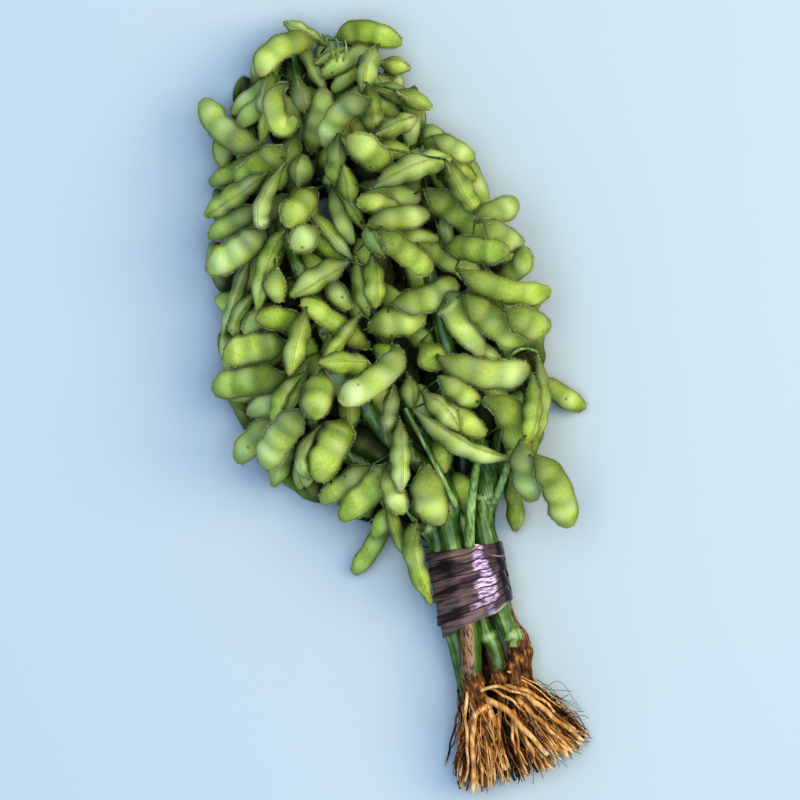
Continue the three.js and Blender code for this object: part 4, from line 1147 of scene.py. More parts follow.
# The skin of a fresh pod: thin, tough and matt under its down. It is yellow-green in patches of 13 mm,
# mottled each 1.2 mm, with pale ridged seams. Tips and spots are brown. Shade is painted on it: in the hollows
# between beans, in the groove beside each seam, towards the base, on the sides that face away from the light
# above, and further into the head, where no light comes in. The finest hairs are a grain of 0.8 mm, coarser
# than real, so that it shows.
pod_skin, tree = new_material("velvety soybean pod skin")
coord = add_node(tree, "ShaderNodeTexCoord").outputs["Object"]
off_seam, grooved, hollow, run, aside, tint, painted_shade_depth = [
    add_node(tree, "ShaderNodeAttribute", attribute_name=name).outputs["Fac"] for name in PAINTED
]
patches = add_node(tree, "ShaderNodeTexNoise", {"Vector": coord, "Scale": 75, "Detail": 3}).outputs[0]
mottle = add_node(tree, "ShaderNodeTexNoise", {"Vector": coord, "Scale": 800, "Detail": 2}).outputs[0]
blend = add_node(tree, "ShaderNodeMath", {0: patches, 1: tint}, operation="ADD").outputs[0]
blend = add_node(tree, "ShaderNodeMath", {0: mottle, 1: 0.5, 2: blend}, operation="MULTIPLY_ADD").outputs[0]
skin = add_node(
    tree,
    "ShaderNodeValToRGB",
    {"Fac": blend},
    [(0.45, "#A6BC42"), (0.72, "#CADA68"), (1.0, "#D4E294")],
).outputs[0]
# Painted shade in the hollows between beans and in the groove beside the seam.
shade = add_node(tree, "ShaderNodeMath", {0: hollow, 1: 0.6}, operation="MULTIPLY").outputs[0]
groove = add_node(tree, "ShaderNodeMath", {0: off_seam, 1: 0.95}, operation="SUBTRACT").outputs[0]
groove = add_node(tree, "ShaderNodeMath", {0: groove}, operation="ABSOLUTE").outputs[0]
groove = add_node(tree, "ShaderNodeMapRange", {0: groove, 1: 0.15, 2: 0.5, 3: 0.42, 4: 0.0}).outputs[0]
groove = add_node(tree, "ShaderNodeMath", {0: groove, 1: grooved}, operation="MULTIPLY").outputs[0]
ridge = add_node(tree, "ShaderNodeMapRange", {0: off_seam, 1: 0.2, 2: 0.5, 3: 0.65, 4: 0.0}).outputs[0]
old = add_node(tree, "ShaderNodeMath", {0: patches, 1: 0.25, 2: run}, operation="MULTIPLY_ADD").outputs[0]
far = add_node(tree, "ShaderNodeMapRange", {0: old, 1: 1.04, 2: 1.16, 3: 0.0, 4: 0.75}).outputs[0]
spots = add_node(tree, "ShaderNodeTexVoronoi", {"Vector": coord, "Scale": 75, "Randomness": 1.0}).outputs[0]
spots = add_node(tree, "ShaderNodeMapRange", {0: spots, 1: 0.035, 2: 0.09, 3: 0.6, 4: 0.0}).outputs[0]
# Painted shade: the skin darkens towards the base, which dips under the neighbouring pods, and with depth in
# the head.
inner = add_node(tree, "ShaderNodeMapRange", {0: run, 1: 0.0, 2: 0.65, 3: 0.68, 4: 0.0}).outputs[0]
shaded = add_node(tree, "ShaderNodeMath", {0: painted_shade_depth, 1: 0.95, 2: inner}, operation="MULTIPLY_ADD").outputs[0]
shaded = add_node(tree, "ShaderNodeMath", {0: shaded, 1: 0.93}, operation="MINIMUM").outputs[0]
# The sides are painted darker green, as shade.
sides = add_node(tree, "ShaderNodeMath", {0: aside, 1: 0.88}, operation="MULTIPLY").outputs[0]
laid_over = (
    (shade, "#557D30"),
    (groove, "#3C6424"),
    (ridge, "#AEAC58"),
    (far, "#A08A4C"),
    (spots, "#4A3A1A"),
    (shaded, "#1E2008"),
    (sides, "#425A12"),
)
for where, colour in laid_over:
    skin = add_node(
        tree, "ShaderNodeMix", {0: where, 6: skin, 7: linear(colour)}, data_type="RGBA"
    ).outputs[2]
down = add_node(tree, "ShaderNodeTexNoise", {"Vector": coord, "Scale": 1300, "Detail": 3}).outputs[0]
bump = add_node(tree, "ShaderNodeBump", {"Height": down, "Strength": 0.45, "Distance": 0.0006}).outputs[0]
velvet = add_node(
    tree,
    "ShaderNodeBsdfPrincipled",
    {
        "Base Color": skin,
        "Roughness": 0.6,
        "Specular IOR Level": 0.25,
        "Sheen Weight": 0.06,
        "Sheen Roughness": 0.4,
        "Sheen Tint": linear("#E8EDB0"),
        "Normal": bump,
    },
)
finish_material(tree, velvet)

tint_random = np.random.default_rng(3)

# A pod is painted with shade, at its darkest this far under the head's core, and less so at the rim, where
# light comes in.
DARK_DEPTH = 6.6
RIM_LIGHT, RIM_FROM, RIM_WIDE = 0.6, 0.8, 0.15
surfaces = {k: [] for k in PLANTS}
for k in PLANTS:
    skins, values = [], []
    for pod in [p for p in grown if p.plant == k]:
        grid = COVERED_GRID if pod.covered else SHOWN_GRID
        vertices, pads, surface = pod_surface(pod, *grid, tint_random.uniform(-0.2, 0.2))
        surfaces[k].append((surface, pod.covered))
        skins.append((vertices, skin_of(*grid)))
        values.append([*pads, np.full(len(vertices), tint_random.uniform(-0.15, 0.15))])
    pads = [np.concatenate(v) for v in zip(*values)]
    vertices, faces = put_together(skins)
    vertices[:, 2] = np.maximum(vertices[:, 2], SURFACE_GAP)
    x, y, z = vertices.T
    painted_shade_depth = np.clip((core_height(x, y) - z) / DARK_DEPTH, 0, 1)
    to_rim = np.abs(x - np.interp(y, HEAD_Y, HEAD_MIDDLE)) / np.interp(y, HEAD_Y, HEAD_HALF)
    painted_shade_depth *= 1 - RIM_LIGHT * np.clip((to_rim - RIM_FROM) / RIM_WIDE, 0, 1)
    painted = dict(zip(PAINTED, [*pads, painted_shade_depth]))
    pods_piece = make_mesh(f"pods_{k + 1}", vertices, faces, pod_skin, painted)
    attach(pods_piece, "root")
    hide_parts(f"plant_{k + 1}")

# ---------------------------------------------------------------------------------------------------
# The down: short pale hairs all over each pod, which lean to its tip. Each is a closed spike with three
# sides. Real hairs are about 0.03 mm thick, and these are drawn thicker and fewer, so that they show.

# A hair's least and most length, its radius and how far its foot is sunk, hairs on a pod, the share of them
# along the seams, and how far all of a hair is over the surface.
FUZZ_LONG = (0.9, 1.9)
FUZZ_R, FUZZ_SUNK = 0.09, 0.1
SHOWN_FUZZ, COVERED_FUZZ = 700, 70
AT_SEAMS = 0.42
CLEAR_OF_SURFACE = 0.05
fuzz_random = np.random.default_rng(5)
SPIKE = np.array([[0, 1, 3, -1], [1, 2, 3, -1], [2, 0, 3, -1], [0, 2, 1, -1]])

# Dry plant hair, from straw to pale green. It gives the pods their velvety edge and catches the light.
# Its tone changes every 17 mm or so, from pod to pod.
down_hair, tree = new_material("pale pod down")
coord = add_node(tree, "ShaderNodeTexCoord").outputs["Object"]
tone = add_node(tree, "ShaderNodeTexNoise", {"Vector": coord, "Scale": 60}).outputs[0]
straw = add_node(
    tree,
    "ShaderNodeValToRGB",
    {"Fac": tone},
    [(0.35, "#A09048"), (0.65, "#E8ECA8")],
).outputs[0]
hair = add_node(tree, "ShaderNodeBsdfPrincipled", {"Base Color": straw, "Roughness": 0.5})
finish_material(tree, hair)


def spikes_on(ring, outward, along, count):
    """Spikes set at random over a surface given by rings of points, between its first and last row."""
    rows, columns = ring.shape[:2]
    row = fuzz_random.uniform(0.5, rows - 1.5, count)
    column = fuzz_random.uniform(0, columns, count)
    at_seam = fuzz_random.random(count) < AT_SEAMS
    seam = np.where(fuzz_random.random(count) < 0.5, 0, columns / 2) + fuzz_random.normal(-0.5, 0.6, count)
    column = np.where(at_seam, seam, column) % columns
    i, u = row.astype(int), (row % 1)[:, None]
    j, v = column.astype(int) % columns, (column % 1)[:, None]
    after = (j + 1) % columns
    low = ring[i, j] * (1 - v) + ring[i, after] * v
    high = ring[i + 1, j] * (1 - v) + ring[i + 1, after] * v
    way = outward[i, j] + along[i] * fuzz_random.uniform(-0.1, 0.8, (count, 1))
    way += fuzz_random.normal(0, 0.25, (count, 3))
    way /= np.linalg.norm(way, axis=1)[:, None]
    across = np.cross(way, along[i] + 0.01)
    across /= np.linalg.norm(across, axis=1)[:, None]
    second = np.cross(way, across)
    foot = low * (1 - u) + high * u - outward[i, j] * FUZZ_SUNK
    corners = [foot + FUZZ_R * (across * math.cos(a) + second * math.sin(a)) for a in (0, 2.1, 4.2)]
    corners.append(foot + way * fuzz_random.uniform(*FUZZ_LONG, (count, 1)))
    spikes = np.stack(corners, 1)
    spikes = spikes[spikes[:, :, 2].min(1) > CLEAR_OF_SURFACE]
    vertices = spikes.reshape(-1, 3)
    faces = np.where(SPIKE < 0, -1, SPIKE + 4 * np.arange(len(spikes))[:, None, None]).reshape(-1, 4)
    return vertices, faces


for k in PLANTS:
    hairs = [spikes_on(*surface, COVERED_FUZZ if covered else SHOWN_FUZZ) for surface, covered in surfaces[k]]
    down_piece = make_mesh(f"down_{k + 1}", *put_together(hairs), down_hair)
    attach(down_piece, "root")

# ---------------------------------------------------------------------------------------------------
# The roots: each stem ends in a knobby crown of brown bark, which splits into a fan of tough, stringy
# roots and fine curly ones. They are cut off short, and the thicker ones show a pale end.

ROOT_PAINT = ("tone", "cut", "green", "knobby")

# Root bark: dry, rough and dull, in strings of about 1.4 by 11 mm from dark brown to straw, with pits of 2
# by 6 mm on the crown. Earth in it changes the tone every 6 mm, a cut end shows pale wood, and the top of a
# crown may still be green.
root_skin, tree = new_material("soybean root bark")
coord = add_node(tree, "ShaderNodeTexCoord").outputs["Object"]
tone, cut, moss, knobby = [
    add_node(tree, "ShaderNodeAttribute", attribute_name=name).outputs["Fac"] for name in ROOT_PAINT
]
drawn_out = add_node(tree, "ShaderNodeMapping", {"Vector": coord, "Scale": (700, 90, 700)}).outputs[0]
streaks = add_node(tree, "ShaderNodeTexNoise", {"Vector": drawn_out, "Scale": 1, "Detail": 4}).outputs[0]
dirt = add_node(tree, "ShaderNodeTexNoise", {"Vector": coord, "Scale": 160, "Detail": 3}).outputs[0]
mixed = add_node(tree, "ShaderNodeMath", {0: streaks, 1: dirt}, operation="ADD").outputs[0]
# tone brings each root's own tone and its painted shade, darker the lower the root lies.
mixed = add_node(tree, "ShaderNodeMath", {0: mixed, 1: 0.5, 2: tone}, operation="MULTIPLY_ADD").outputs[0]
stringy = add_node(tree, "ShaderNodeMapping", {"Vector": coord, "Scale": (480, 170, 480)}).outputs[0]
pits = add_node(tree, "ShaderNodeTexNoise", {"Vector": stringy, "Scale": 1, "Detail": 3}).outputs[0]
pits = add_node(tree, "ShaderNodeMath", {0: pits, 1: 0.47}, operation="SUBTRACT").outputs[0]
pits = add_node(tree, "ShaderNodeMath", {0: pits, 1: knobby}, operation="MULTIPLY").outputs[0]
mottled = add_node(tree, "ShaderNodeMath", {0: pits, 1: 0.75, 2: mixed}, operation="MULTIPLY_ADD").outputs[0]
brown = add_node(
    tree,
    "ShaderNodeValToRGB",
    {"Fac": mottled},
    [(0.24, "#241408"), (0.44, "#704A24"), (0.62, "#BE8840"), (0.84, "#FFD48A")],
).outputs[0]
woody = add_node(tree, "ShaderNodeMath", {0: mixed, 1: -1.2, 2: 0.75}, operation="MULTIPLY_ADD").outputs[0]
woody = add_node(tree, "ShaderNodeMath", {0: woody, 1: moss}, operation="ADD").outputs[0]
woody = add_node(tree, "ShaderNodeMapRange", {0: woody, 1: 0.55, 2: 0.75}).outputs[0]
green = add_node(
    tree,
    "ShaderNodeValToRGB",
    {"Fac": streaks},
    [(0.36, "#4A6424"), (0.66, "#92AC58")],
).outputs[0]
skin = add_node(tree, "ShaderNodeMix", {0: woody, 6: brown, 7: green}, data_type="RGBA").outputs[2]
skin = add_node(tree, "ShaderNodeMix", {0: cut, 6: skin, 7: linear("#F0D8A0")}, data_type="RGBA").outputs[2]
bump = add_node(tree, "ShaderNodeBump", {"Height": streaks, "Strength": 0.7, "Distance": 0.0008}).outputs[0]
root_shader = add_node(
    tree,
    "ShaderNodeBsdfPrincipled",
    {"Base Color": skin, "Roughness": 0.72, "Specular IOR Level": 0.3, "Normal": bump},
)
finish_material(tree, root_shader)

# The fan: where it starts and ends, how much it widens across and in height, the share of their height that
# high crowns' roots fall, and how far low ones sag.
ROOT_NECK_Y, ROOT_END_Y = -58, -108
FAN_ACROSS, FAN_UP, FALL, SAG = 0.75, 0.1, 0.5, 3
CROWN_ROWS, CROWN_COLUMNS = 70, 32
ROOTS_EACH, ROOT_ROWS, ROOT_COLUMNS = 58, 14, 6
CURLS_EACH, CURL_ROWS, CURL_COLUMNS = 120, 16, 3

# On each crown, how high the knobs are as a share of its radius, and how green its top still is.
KNOBS = [0.06, 0.13, 0.04, 0.08, 0.15, 0.06, 0.06]
GREEN_FADE = [0.1, 0.2, 0.62, 0.3, 0.2, 0.6, 0.1]
root_random = np.random.default_rng(8)


def crown_surface(k):
    """The crown of root k: it laps the stem, narrows below the neck, and has knobs and furrows."""
    x, z = PACK[k] + STRAY[k]
    top, foot = CROWN_Y[k], ROOT_NECK_Y - 4
    crown_r = STEM_R * (1 - 0.8 * THINNER[k])
    points = [
        (x + axis_x(top + 2), top + 2, AXIS_Z + z, crown_r * 0.97),
        (x + axis_x(top - 4), top - 4, AXIS_Z + z, crown_r * 1.04),
        (x + axis_x(foot + 6), foot + 6, AXIS_Z + z, crown_r),
        (x * 1.05 + axis_x(foot), foot - 2, AXIS_Z + z, STEM_R * 0.75),
        (x * 1.15 + axis_x(foot), foot - 12, AXIS_Z + z, STEM_R * 0.3),
    ]
    route = route_through(points, np.linspace(0, 1, CROWN_ROWS))
    centre = route[:, :3]
    centre[:, 0] += bowed(k, centre[:, 1])
    turn = 2 * math.pi * np.arange(CROWN_COLUMNS) / CROWN_COLUMNS
    y = centre[:, 1:2]
    settled = np.clip((top + 2 - y) / 4, 0, 1)
    knobs = KNOBS[k] * np.sin(0.6 * y + 2 * np.sin(turn + k)) * np.cos(2 * turn + 0.23 * y + k)
    furrows = 0.05 * np.cos(9 * turn + 0.3 * y + k) + 0.05 * np.cos(5 * turn - 0.7 * y + 2 * k)
    ring = route[:, 3:] * (1 + settled * (knobs + furrows))
    vertices = ringed_tube(centre, ring, turn)
    vertices[:, 2] = np.maximum(vertices[:, 2], SURFACE_GAP)
    fade = np.clip((y - (top - 12)) / 12, 0, 1) * GREEN_FADE[k]
    fade = with_poles(np.broadcast_to(fade, ring.shape))
    return vertices, skin_of(CROWN_ROWS, CROWN_COLUMNS), fade


def root_lines(k, count, rows, wander, shortest):
    """Lines from the crown that spread as they run down, each with its own slow wave on the way."""
    x, z = PACK[k] + STRAY[k]
    x += bowed(k, ROOT_NECK_Y)
    s = np.linspace(0, 1, rows)[None]
    turn = root_random.uniform(0, 2 * math.pi, (count, 1)) + root_random.normal(0, 0.4, (count, 1)) * s
    spread = root_random.uniform(0.2, 1, (count, 1))
    reach = STEM_R * np.minimum(1.0, 0.55 + 0.6 * spread * s)
    fan = 1 + FAN_ACROSS * s**1.6
    across = (x + reach * np.cos(turn)) * fan + axis_x(ROOT_NECK_Y) * (1 - s)
    height = AXIS_Z + (z - max(z, 0) * FALL * s + 0.95 * reach * np.sin(turn)) * (1 + FAN_UP * s)
    height -= SAG * s**2 * (z < 0)
    start = ROOT_NECK_Y + root_random.uniform(-6, 9, (count, 1))
    outer = across[:, -1:] / 38
    end = ROOT_END_Y + np.where(outer > 0, 9, 3) * outer**2
    end = start + (end - start) * (shortest + (1 - shortest) * root_random.uniform(0, 1, (count, 1)) ** 0.6)
    along = start + (end - start) * s
    lines = np.stack([across, along, height], -1)
    for waves in (1.5, 3.5):
        phase = root_random.uniform(0, 2 * math.pi, (count, 1, 3))
        rate = waves * math.pi * root_random.uniform(0.6, 1.4, (count, 1, 3))
        size = wander / waves * root_random.uniform(0.3, 1, (count, 1, 3))
        lines += size * np.sin(rate * s[:, :, None] + phase) * np.minimum(1, 3 * s)[:, :, None]
    return lines


def lifted(lines, radii):
    """The lines with any part that is too low raised to lie on the surface."""
    lines[:, :, 2] = np.maximum(lines[:, :, 2], radii + CLEAR_OF_SURFACE)
    return lines


# Thick roots that show on top: crown, radius, heights, then x and y on the sheet of three or four points.
LAID_ROOTS = [
    [3, 1.75, (27, 35, 34, 29), 482, 703, 503, 709, 524, 730, 549, 757],
    [3, 1.5, (29, 35, 34, 28), 492, 709, 476, 717, 473, 745, 474, 796],
    [0, 0.85, (33, 36, 34, 27), 468, 694, 466, 722, 468, 752, 466, 784],
    [3, 1.45, (24, 30, 31), 500, 722, 487, 731, 479, 738],
    [3, 2.0, (30, 29, 25), 489, 713, 494, 722, 499, 735],
    [0, 0.95, (34, 37, 36, 31), 481, 694, 496, 688, 515, 693, 536, 699],
    [1, 0.75, (33, 36, 34, 28), 492, 691, 508, 699, 522, 711, 529, 724],
    [1, 1.0, (34, 37, 34, 29), 505, 688, 524, 691, 541, 700, 556, 714],
    [4, 1.5, (30, 35, 32, 24), 520, 690, 540, 707, 560, 724, 585, 743],
    [4, 1.25, (30, 34, 32, 26), 520, 703, 538, 720, 554, 735, 573, 752],
    [1, 0.8, (30, 32, 29, 24), 514, 712, 518, 736, 520, 752, 529, 768],
    [4, 0.5, (31, 31, 27, 10), 508, 674, 529, 685, 558, 707, 585, 729],
    [4, 0.4, (31, 32, 28, 14), 511, 674, 534, 684, 556, 700, 580, 722],
    [4, 0.25, (27, 22, 14, 4), 556, 705, 574, 714, 583, 724, 589, 740],
    [4, 0.2, (27, 22, 12, 3), 552, 700, 558, 711, 561, 718, 563, 726],
    [3, 0.65, (29, 31, 26, 16), 499, 738, 490, 750, 485, 763, 485, 780],
    [3, 0.95, (28, 30, 25, 15), 513, 722, 514, 742, 518, 756, 528, 770],
    [1, 1.1, (27, 29, 24, 14), 520, 730, 530, 747, 536, 760, 541, 774],
    [5, 0.55, (22, 20, 12, 3), 462, 706, 457, 722, 452, 745, 446, 771],
    [2, 0.4, (24, 22, 14, 4), 461, 716, 457, 738, 452, 752, 447, 766],
    [5, 0.9, (22, 22, 18, 8), 463, 712, 460, 740, 457, 768, 461, 792],
    [6, 1.2, (26, 27, 22, 10), 500, 712, 500, 740, 504, 762, 508, 784],
]
LAID_ROWS, LAID_COLUMNS = 26, 12

# Roots are painted darker, as shade, the lower they lie under the height given below, and are lighter to their
# ends.
DEPTH_SHADE, SHADE_Z = 0.022, 22
END_TONE = 0.36

for k in PLANTS:
    crown, crown_faces, fade = crown_surface(k)
    pieces = [(crown, crown_faces)]
    tones_and_shades, cuts, greens = [np.full(len(crown), -0.1)], [0 * fade], [fade]

    lines = root_lines(k, ROOTS_EACH, ROOT_ROWS, 2.6, 0.7)
    thick = root_random.uniform(0.35, 1.0, (ROOTS_EACH, 1)) ** 1.5 * 1.3 + 0.3
    radii = thick * (1 - 0.5 * np.linspace(0, 1, ROOT_ROWS))
    pieces.append(tubes(lifted(lines, radii), radii, ROOT_COLUMNS))
    shade = root_random.uniform(-0.45, -0.09, ROOTS_EACH)[:, None]
    shade = shade + DEPTH_SHADE * (lines[:, :, 2] - SHADE_Z)
    shade += END_TONE * np.linspace(0, 1, ROOT_ROWS) ** 3
    tones_and_shades.append(per_tube(np.clip(shade, -0.42, 0.24), ROOT_ROWS, ROOT_COLUMNS))
    white = np.zeros((ROOTS_EACH, ROOT_ROWS))
    white[:, -2:] = (root_random.uniform(0, 1, (ROOTS_EACH, 1)) > 0.55) * [0.3, 0.9]
    cuts.append(per_tube(white, ROOT_ROWS, ROOT_COLUMNS))

    lines = root_lines(k, CURLS_EACH, CURL_ROWS, 7, 0.35)
    radii = root_random.uniform(0.16, 0.38, (CURLS_EACH, 1)) * np.linspace(1, 0.6, CURL_ROWS)
    pieces.append(tubes(lifted(lines, radii), radii, CURL_COLUMNS))
    shade = root_random.uniform(-0.3, 0.14, CURLS_EACH)[:, None]
    shade = shade + DEPTH_SHADE * (lines[:, :, 2] - SHADE_Z)
    tones_and_shades.append(per_tube(np.clip(shade, -0.42, 0.3), CURL_ROWS, CURL_COLUMNS))
    cuts.append(0 * tones_and_shades[-1])

    for crown_number, radius, heights, *sheet in LAID_ROOTS:
        if crown_number == k:
            places = [(*from_sheet(*sheet[2 * i : 2 * i + 2]), z) for i, z in enumerate(heights)]
            line = through(places, np.linspace(0, 1, LAID_ROWS))
            line += 0.35 * np.sin(np.linspace(0, 17, LAID_ROWS)[:, None] + [0, 1.5, 3])
            pieces.append(tubes([line], [radius * np.linspace(1.15, 0.75, LAID_ROWS)], LAID_COLUMNS))
            shade = 0.19 + DEPTH_SHADE * np.clip(line[None, :, 2] - 30, -18, 0)
            tones_and_shades.append(per_tube(shade, LAID_ROWS, LAID_COLUMNS))
            white = np.zeros((1, LAID_ROWS))
            white[:, -2:] = 0.6, 1
            cuts.append(per_tube(white, LAID_ROWS, LAID_COLUMNS))
    greens += [np.zeros(len(piece[0])) for piece in pieces[1:]]
    knobs = np.concatenate([np.ones(len(crown)), np.zeros(sum(len(g) for g in greens[1:]))])
    painted = dict(zip(ROOT_PAINT, [*map(np.concatenate, (tones_and_shades, cuts, greens)), knobs]))
    root = make_mesh(f"root_{k + 1}_bark", *put_together(pieces), root_skin, painted)
    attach(root, "root")
    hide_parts(f"root_{k + 1}")

# ---------------------------------------------------------------------------------------------------
# The tape: a dark purple-black strip of thin glossy plastic, wound on the slant several times round the
# stems. It lies flat from stem to stem, is creased along its turns, and its ends are torn and pale.

# The inside of the sleeve takes one row in INNER_STEP. FILM_OFF is how far outside the stems the film lies
# before its steps, leans and folds.
TAPE_ROWS, TAPE_COLUMNS, INNER_STEP = 163, 240, 27
FILM_OFF = 0.85

# Each turn's edge as a share of the tape's height and how far it stands out there, how sharp the step is and
# over what share it falls away again. Its lean and its tone follow, turn by turn.
TURN_EDGES = [0.15, 0.27, 0.41, 0.53, 0.67, 0.80, 0.91]
TURN_LAPS = [0.5, 0.28, 0.55, 0.35, 0.6, 0.3, 0.45]
LAP_SHARP, LAP_LONG = 420, 0.13
TURN_LEANS = [0.15, -0.12, 0.1, -0.16, 0.14, -0.08, 0.16, 0.02]
TURN_TONES = [0.03, -0.03, 0.03, -0.03, 0.02, -0.03, 0.03, 0.0]

# Where on each turn a pale pink highlight is painted on the film, from x to x off the tape's axis, and how
# much.
GLARE = [
    (6, 10, 0.3),
    (-3, 14, 0.6),
    (3, 13.5, 0.85),
    (1.6, 13.7, 1),
    (6.5, 12, 0.8),
    (3, 11.2, 0.85),
    (4, 9, 0.7),
    (5, 9.6, 0.9),
]

# A side stalk tied in with the stems: x and z off the axis, and radius.
TIED_STALK = (5.6, 11.6, 3.6)

# Thin black polythene: glossy, in facets of 8 by 4 mm between creases that run round the stems. It is brown
# and duller where it was rubbed, and beige where it is torn. A crumpled pale pink highlight is painted on the
# facets that face the light, a pale glint is painted along one of the creases, and a painted shade line runs
# along each turn's edge.
tape_film, tree = new_material("stretched polythene tape")
coord = add_node(tree, "ShaderNodeTexCoord").outputs["Object"]
torn, scuff, strip, glare = [
    add_node(tree, "ShaderNodeAttribute", attribute_name=name).outputs["Fac"]
    for name in ("torn", "scuffed", "strip", "glare")
]
turned = add_node(
    tree, "ShaderNodeMapping", {"Vector": coord, "Rotation": (0, 0, -0.09), "Scale": (120, 230, 120)}
).outputs[0]
cells = add_node(tree, "ShaderNodeTexVoronoi", {"Vector": turned, "Scale": 1})
off_middle = add_node(
    tree, "ShaderNodeVectorMath", {0: turned, 1: cells.outputs["Position"]}, operation="SUBTRACT"
).outputs[0]
slant = add_node(
    tree, "ShaderNodeVectorMath", {0: cells.outputs["Color"], 1: (0.5, 0.5, 0.5)}, operation="SUBTRACT"
).outputs[0]
facets = add_node(
    tree, "ShaderNodeVectorMath", {0: off_middle, 1: slant}, operation="DOT_PRODUCT"
).outputs["Value"]
drawn_out = add_node(
    tree, "ShaderNodeMapping", {"Vector": coord, "Rotation": (0, 0, -0.09), "Scale": (40, 330, 40)}
).outputs[0]
creases = add_node(tree, "ShaderNodeTexNoise", {"Vector": drawn_out, "Scale": 1, "Detail": 2}).outputs[0]
creases = add_node(tree, "ShaderNodeMath", {0: creases, 1: 0.6}, operation="MULTIPLY").outputs[0]
relief = add_node(
    tree, "ShaderNodeMath", {0: facets, 1: 0.6, 2: creases}, operation="MULTIPLY_ADD"
).outputs[0]
dust = add_node(tree, "ShaderNodeTexNoise", {"Vector": coord, "Scale": 150, "Detail": 4}).outputs[0]
wear = add_node(tree, "ShaderNodeMath", {0: dust, 1: 1.2, 2: scuff}, operation="MULTIPLY_ADD").outputs[0]
wear = add_node(tree, "ShaderNodeMapRange", {0: wear, 1: 0.85, 2: 1.35}).outputs[0]
black = add_node(
    tree,
    "ShaderNodeValToRGB",
    {"Fac": dust},
    [(0.38, "#15171A"), (0.56, "#242629"), (0.78, "#423E42")],
).outputs[0]
worn = add_node(tree, "ShaderNodeMath", {0: creases, 1: strip}, operation="ADD").outputs[0]
rubbed = add_node(
    tree,
    "ShaderNodeValToRGB",
    {"Fac": worn},
    [(0.24, "#362B22"), (0.38, "#86705E")],
).outputs[0]
film_tone = add_node(tree, "ShaderNodeMix", {0: wear, 6: black, 7: rubbed}, data_type="RGBA").outputs[2]
crumpled = add_node(
    tree, "ShaderNodeMapping", {"Vector": coord, "Rotation": (0, 0, -0.25), "Scale": (260, 900, 260)}
).outputs[0]
crumpled = add_node(tree, "ShaderNodeTexNoise", {"Vector": crumpled, "Scale": 1, "Detail": 3}).outputs[0]
crumpled = add_node(tree, "ShaderNodeMapRange", {0: crumpled, 1: 0.4, 2: 0.58, 3: 0.15, 4: 1.0}).outputs[0]
# A painted highlight: crumpled pale pink across the facets that face the light.
painted_highlight = add_node(tree, "ShaderNodeMath", {0: crumpled, 1: glare}, operation="MULTIPLY").outputs[0]
gloss = add_node(tree, "ShaderNodeMapRange", {0: wear, 3: 0.34, 4: 0.48}).outputs[0]
shine = add_node(tree, "ShaderNodeMapRange", {0: wear, 3: 0.5, 4: 0.3}).outputs[0]
# torn also brings the pale glint painted along one of the creases.
for where, colour in ((painted_highlight, "#F4D4DE"), (torn, "#C9B8A4")):
    film_tone = add_node(
        tree, "ShaderNodeMix", {0: where, 6: film_tone, 7: linear(colour)}, data_type="RGBA"
    ).outputs[2]
bump = add_node(tree, "ShaderNodeBump", {"Height": relief, "Strength": 0.65, "Distance": 0.0012}).outputs[0]
film = add_node(
    tree,
    "ShaderNodeBsdfPrincipled",
    {
        "Base Color": film_tone,
        "Roughness": gloss,
        "Specular IOR Level": shine,
        "Specular Tint": linear("#FFE2EE"),
        "Normal": bump,
    },
)
finish_material(tree, film)

# The film by its turn round the stems and its level up the sleeve: pulled tight round the stems and the
# stalk, with a step out at the edge of each turn that falls away again, a lean of each turn over the front,
# folds, a nick at the foot, and torn places that stand out. A shade line, a highlight and a glint are painted
# on it.
turn = 2 * math.pi * np.arange(TAPE_COLUMNS) / TAPE_COLUMNS
share = np.linspace(0, 1, TAPE_ROWS)
level = share[:, None] * np.ones(TAPE_COLUMNS)
wobble = np.sin(3 * turn + 1) + 0.6 * np.sin(7 * turn) + 0.4 * np.sin(17 * turn + 2)
radius = wrapped_radius(turn, [TIED_STALK])
thick = FILM_OFF * np.ones((TAPE_ROWS, TAPE_COLUMNS))
turns = np.zeros((TAPE_ROWS, TAPE_COLUMNS), int)
lap_shade_line = np.zeros((TAPE_ROWS, TAPE_COLUMNS))
for number, (edge, lap) in enumerate(zip(TURN_EDGES, TURN_LAPS)):
    line = edge + 0.016 * np.sin(turn + 2.3 * number) + 0.007 * np.sin(3 * turn + 5 * number)
    above = level - line
    thick += lap * (1 / (1 + np.exp(-above * LAP_SHARP)) - np.clip(above / LAP_LONG, 0, 1))
    turns += above > 0
    lap_shade_line += np.exp(-(((above + 0.004) / 0.008) ** 2))
thick += np.array(TURN_LEANS)[turns] * np.clip(radius * np.cos(turn) - 8, -4, 4) * (np.sin(turn) > 0)
# Each turn has its own tone, and a painted shade line darkens the film along the edge of each lap.
strip = np.array(TURN_TONES)[turns] - 0.12 * lap_shade_line
folds = np.sin(70 * level + 2.5 * np.sin(2 * turn) + 1.5 * np.sin(5 * turn + 6 * level))
folds *= 0.5 + 0.5 * np.sin(3 * turn + 9 * level)
small = np.sin(31 * level + 6 * np.sin(turn + 1)) * np.sin(19 * turn + 12 * level)
film_r = radius + thick + 0.09 * folds + 0.08 * small
x = film_r * np.cos(turn)
foot, top = tape_ends(x)
upper = np.sin(turn) > 0
nick = 1.6 * np.exp(-(((x - 9) / 4.5) ** 2)) * upper
foot = foot + 0.35 * wobble - nick
top = top + 0.2 * wobble + 1.4 * np.exp(-(((x - 6) / 2.5) ** 2)) * upper
y = foot + (top - foot) * level
ragged = np.exp(-((level / 0.035) ** 2)) * np.exp(-(((x - 13) / 5) ** 2)) * upper
ragged += 0.8 * np.exp(-(((level - 0.985) / 0.03) ** 2)) * np.exp(-(((x - 6) / 2.2) ** 2)) * upper
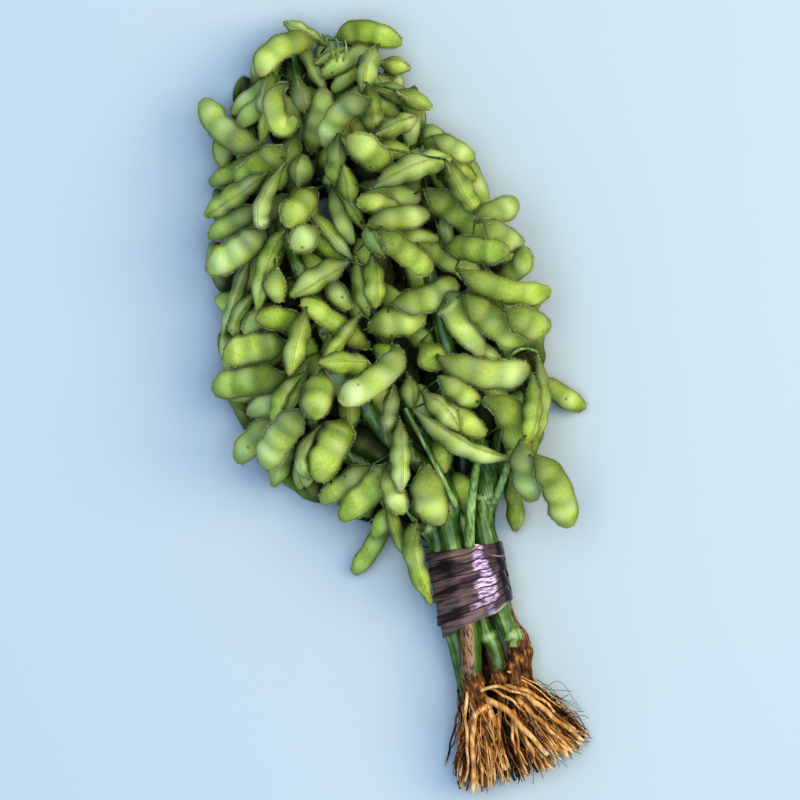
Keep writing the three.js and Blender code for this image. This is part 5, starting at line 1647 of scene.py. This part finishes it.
# A pale glint is painted along one of the creases near the top, carried with the torn places, and that fold
# stands out a little.
off_crease = (level - 0.8 + 0.012 * (x - 16)) / 0.012
glinting_crease = 0.8 * np.exp(-(off_crease**2)) * np.exp(-(((x - 17) / 3) ** 2)) * upper
scuffed = np.clip((9 - x) / 8, 0, 1) * upper
# The painted highlight lies across the facets that face the light, and breaks at each lap.
left, right, strength = np.moveaxis(np.array(GLARE)[turns], -1, 0)
glare = strength / (1 + np.exp((left - x) / 0.35)) / (1 + np.exp((x - right) / 0.35)) * upper
glare *= np.clip(1.2 - 2.5 * lap_shade_line, 0, 1)
film_r = film_r + 0.5 * ragged + 0.4 * glinting_crease
outside = np.stack([film_r * np.cos(turn) + axis_x(y), y, AXIS_Z + film_r * np.sin(turn)], -1)
inner_r = (radius + 0.1) * np.ones((TAPE_ROWS, 1))
inside = np.stack([inner_r * np.cos(turn) + axis_x(y), y, AXIS_Z + inner_r * np.sin(turn)], -1)[::-1]
shell = np.concatenate([outside, inside[::INNER_STEP]])
shell[:, :, 2] = np.maximum(shell[:, :, 2], CLEAR_OF_SURFACE)
rings = len(shell)
row, column = np.meshgrid(np.arange(rings), np.arange(TAPE_COLUMNS), indexing="ij")
after = (column + 1) % TAPE_COLUMNS
ahead = (row + 1) % rings
corners = [row * TAPE_COLUMNS + column, ahead * TAPE_COLUMNS + column]
corners += [ahead * TAPE_COLUMNS + after, row * TAPE_COLUMNS + after]
torn_and_glint = np.concatenate([ragged + glinting_crease, 0 * ragged[::-1][::INNER_STEP]])
scuffs = np.concatenate([scuffed, scuffed[::-1][::INNER_STEP]])
strips = np.concatenate([strip, strip[::-1][::INNER_STEP]])
glares = np.concatenate([glare, 0 * glare[::-1][::INNER_STEP]])
tape = make_mesh(
    "tape_film",
    shell.reshape(-1, 3),
    np.stack(corners, -1).reshape(-1, 4),
    tape_film,
    {
        "torn": np.clip(torn_and_glint, 0, 1).ravel(),
        "scuffed": scuffs.ravel(),
        "strip": strips.ravel(),
        "glare": glares.ravel(),
    },
)
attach(tape, "root")
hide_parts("tape")
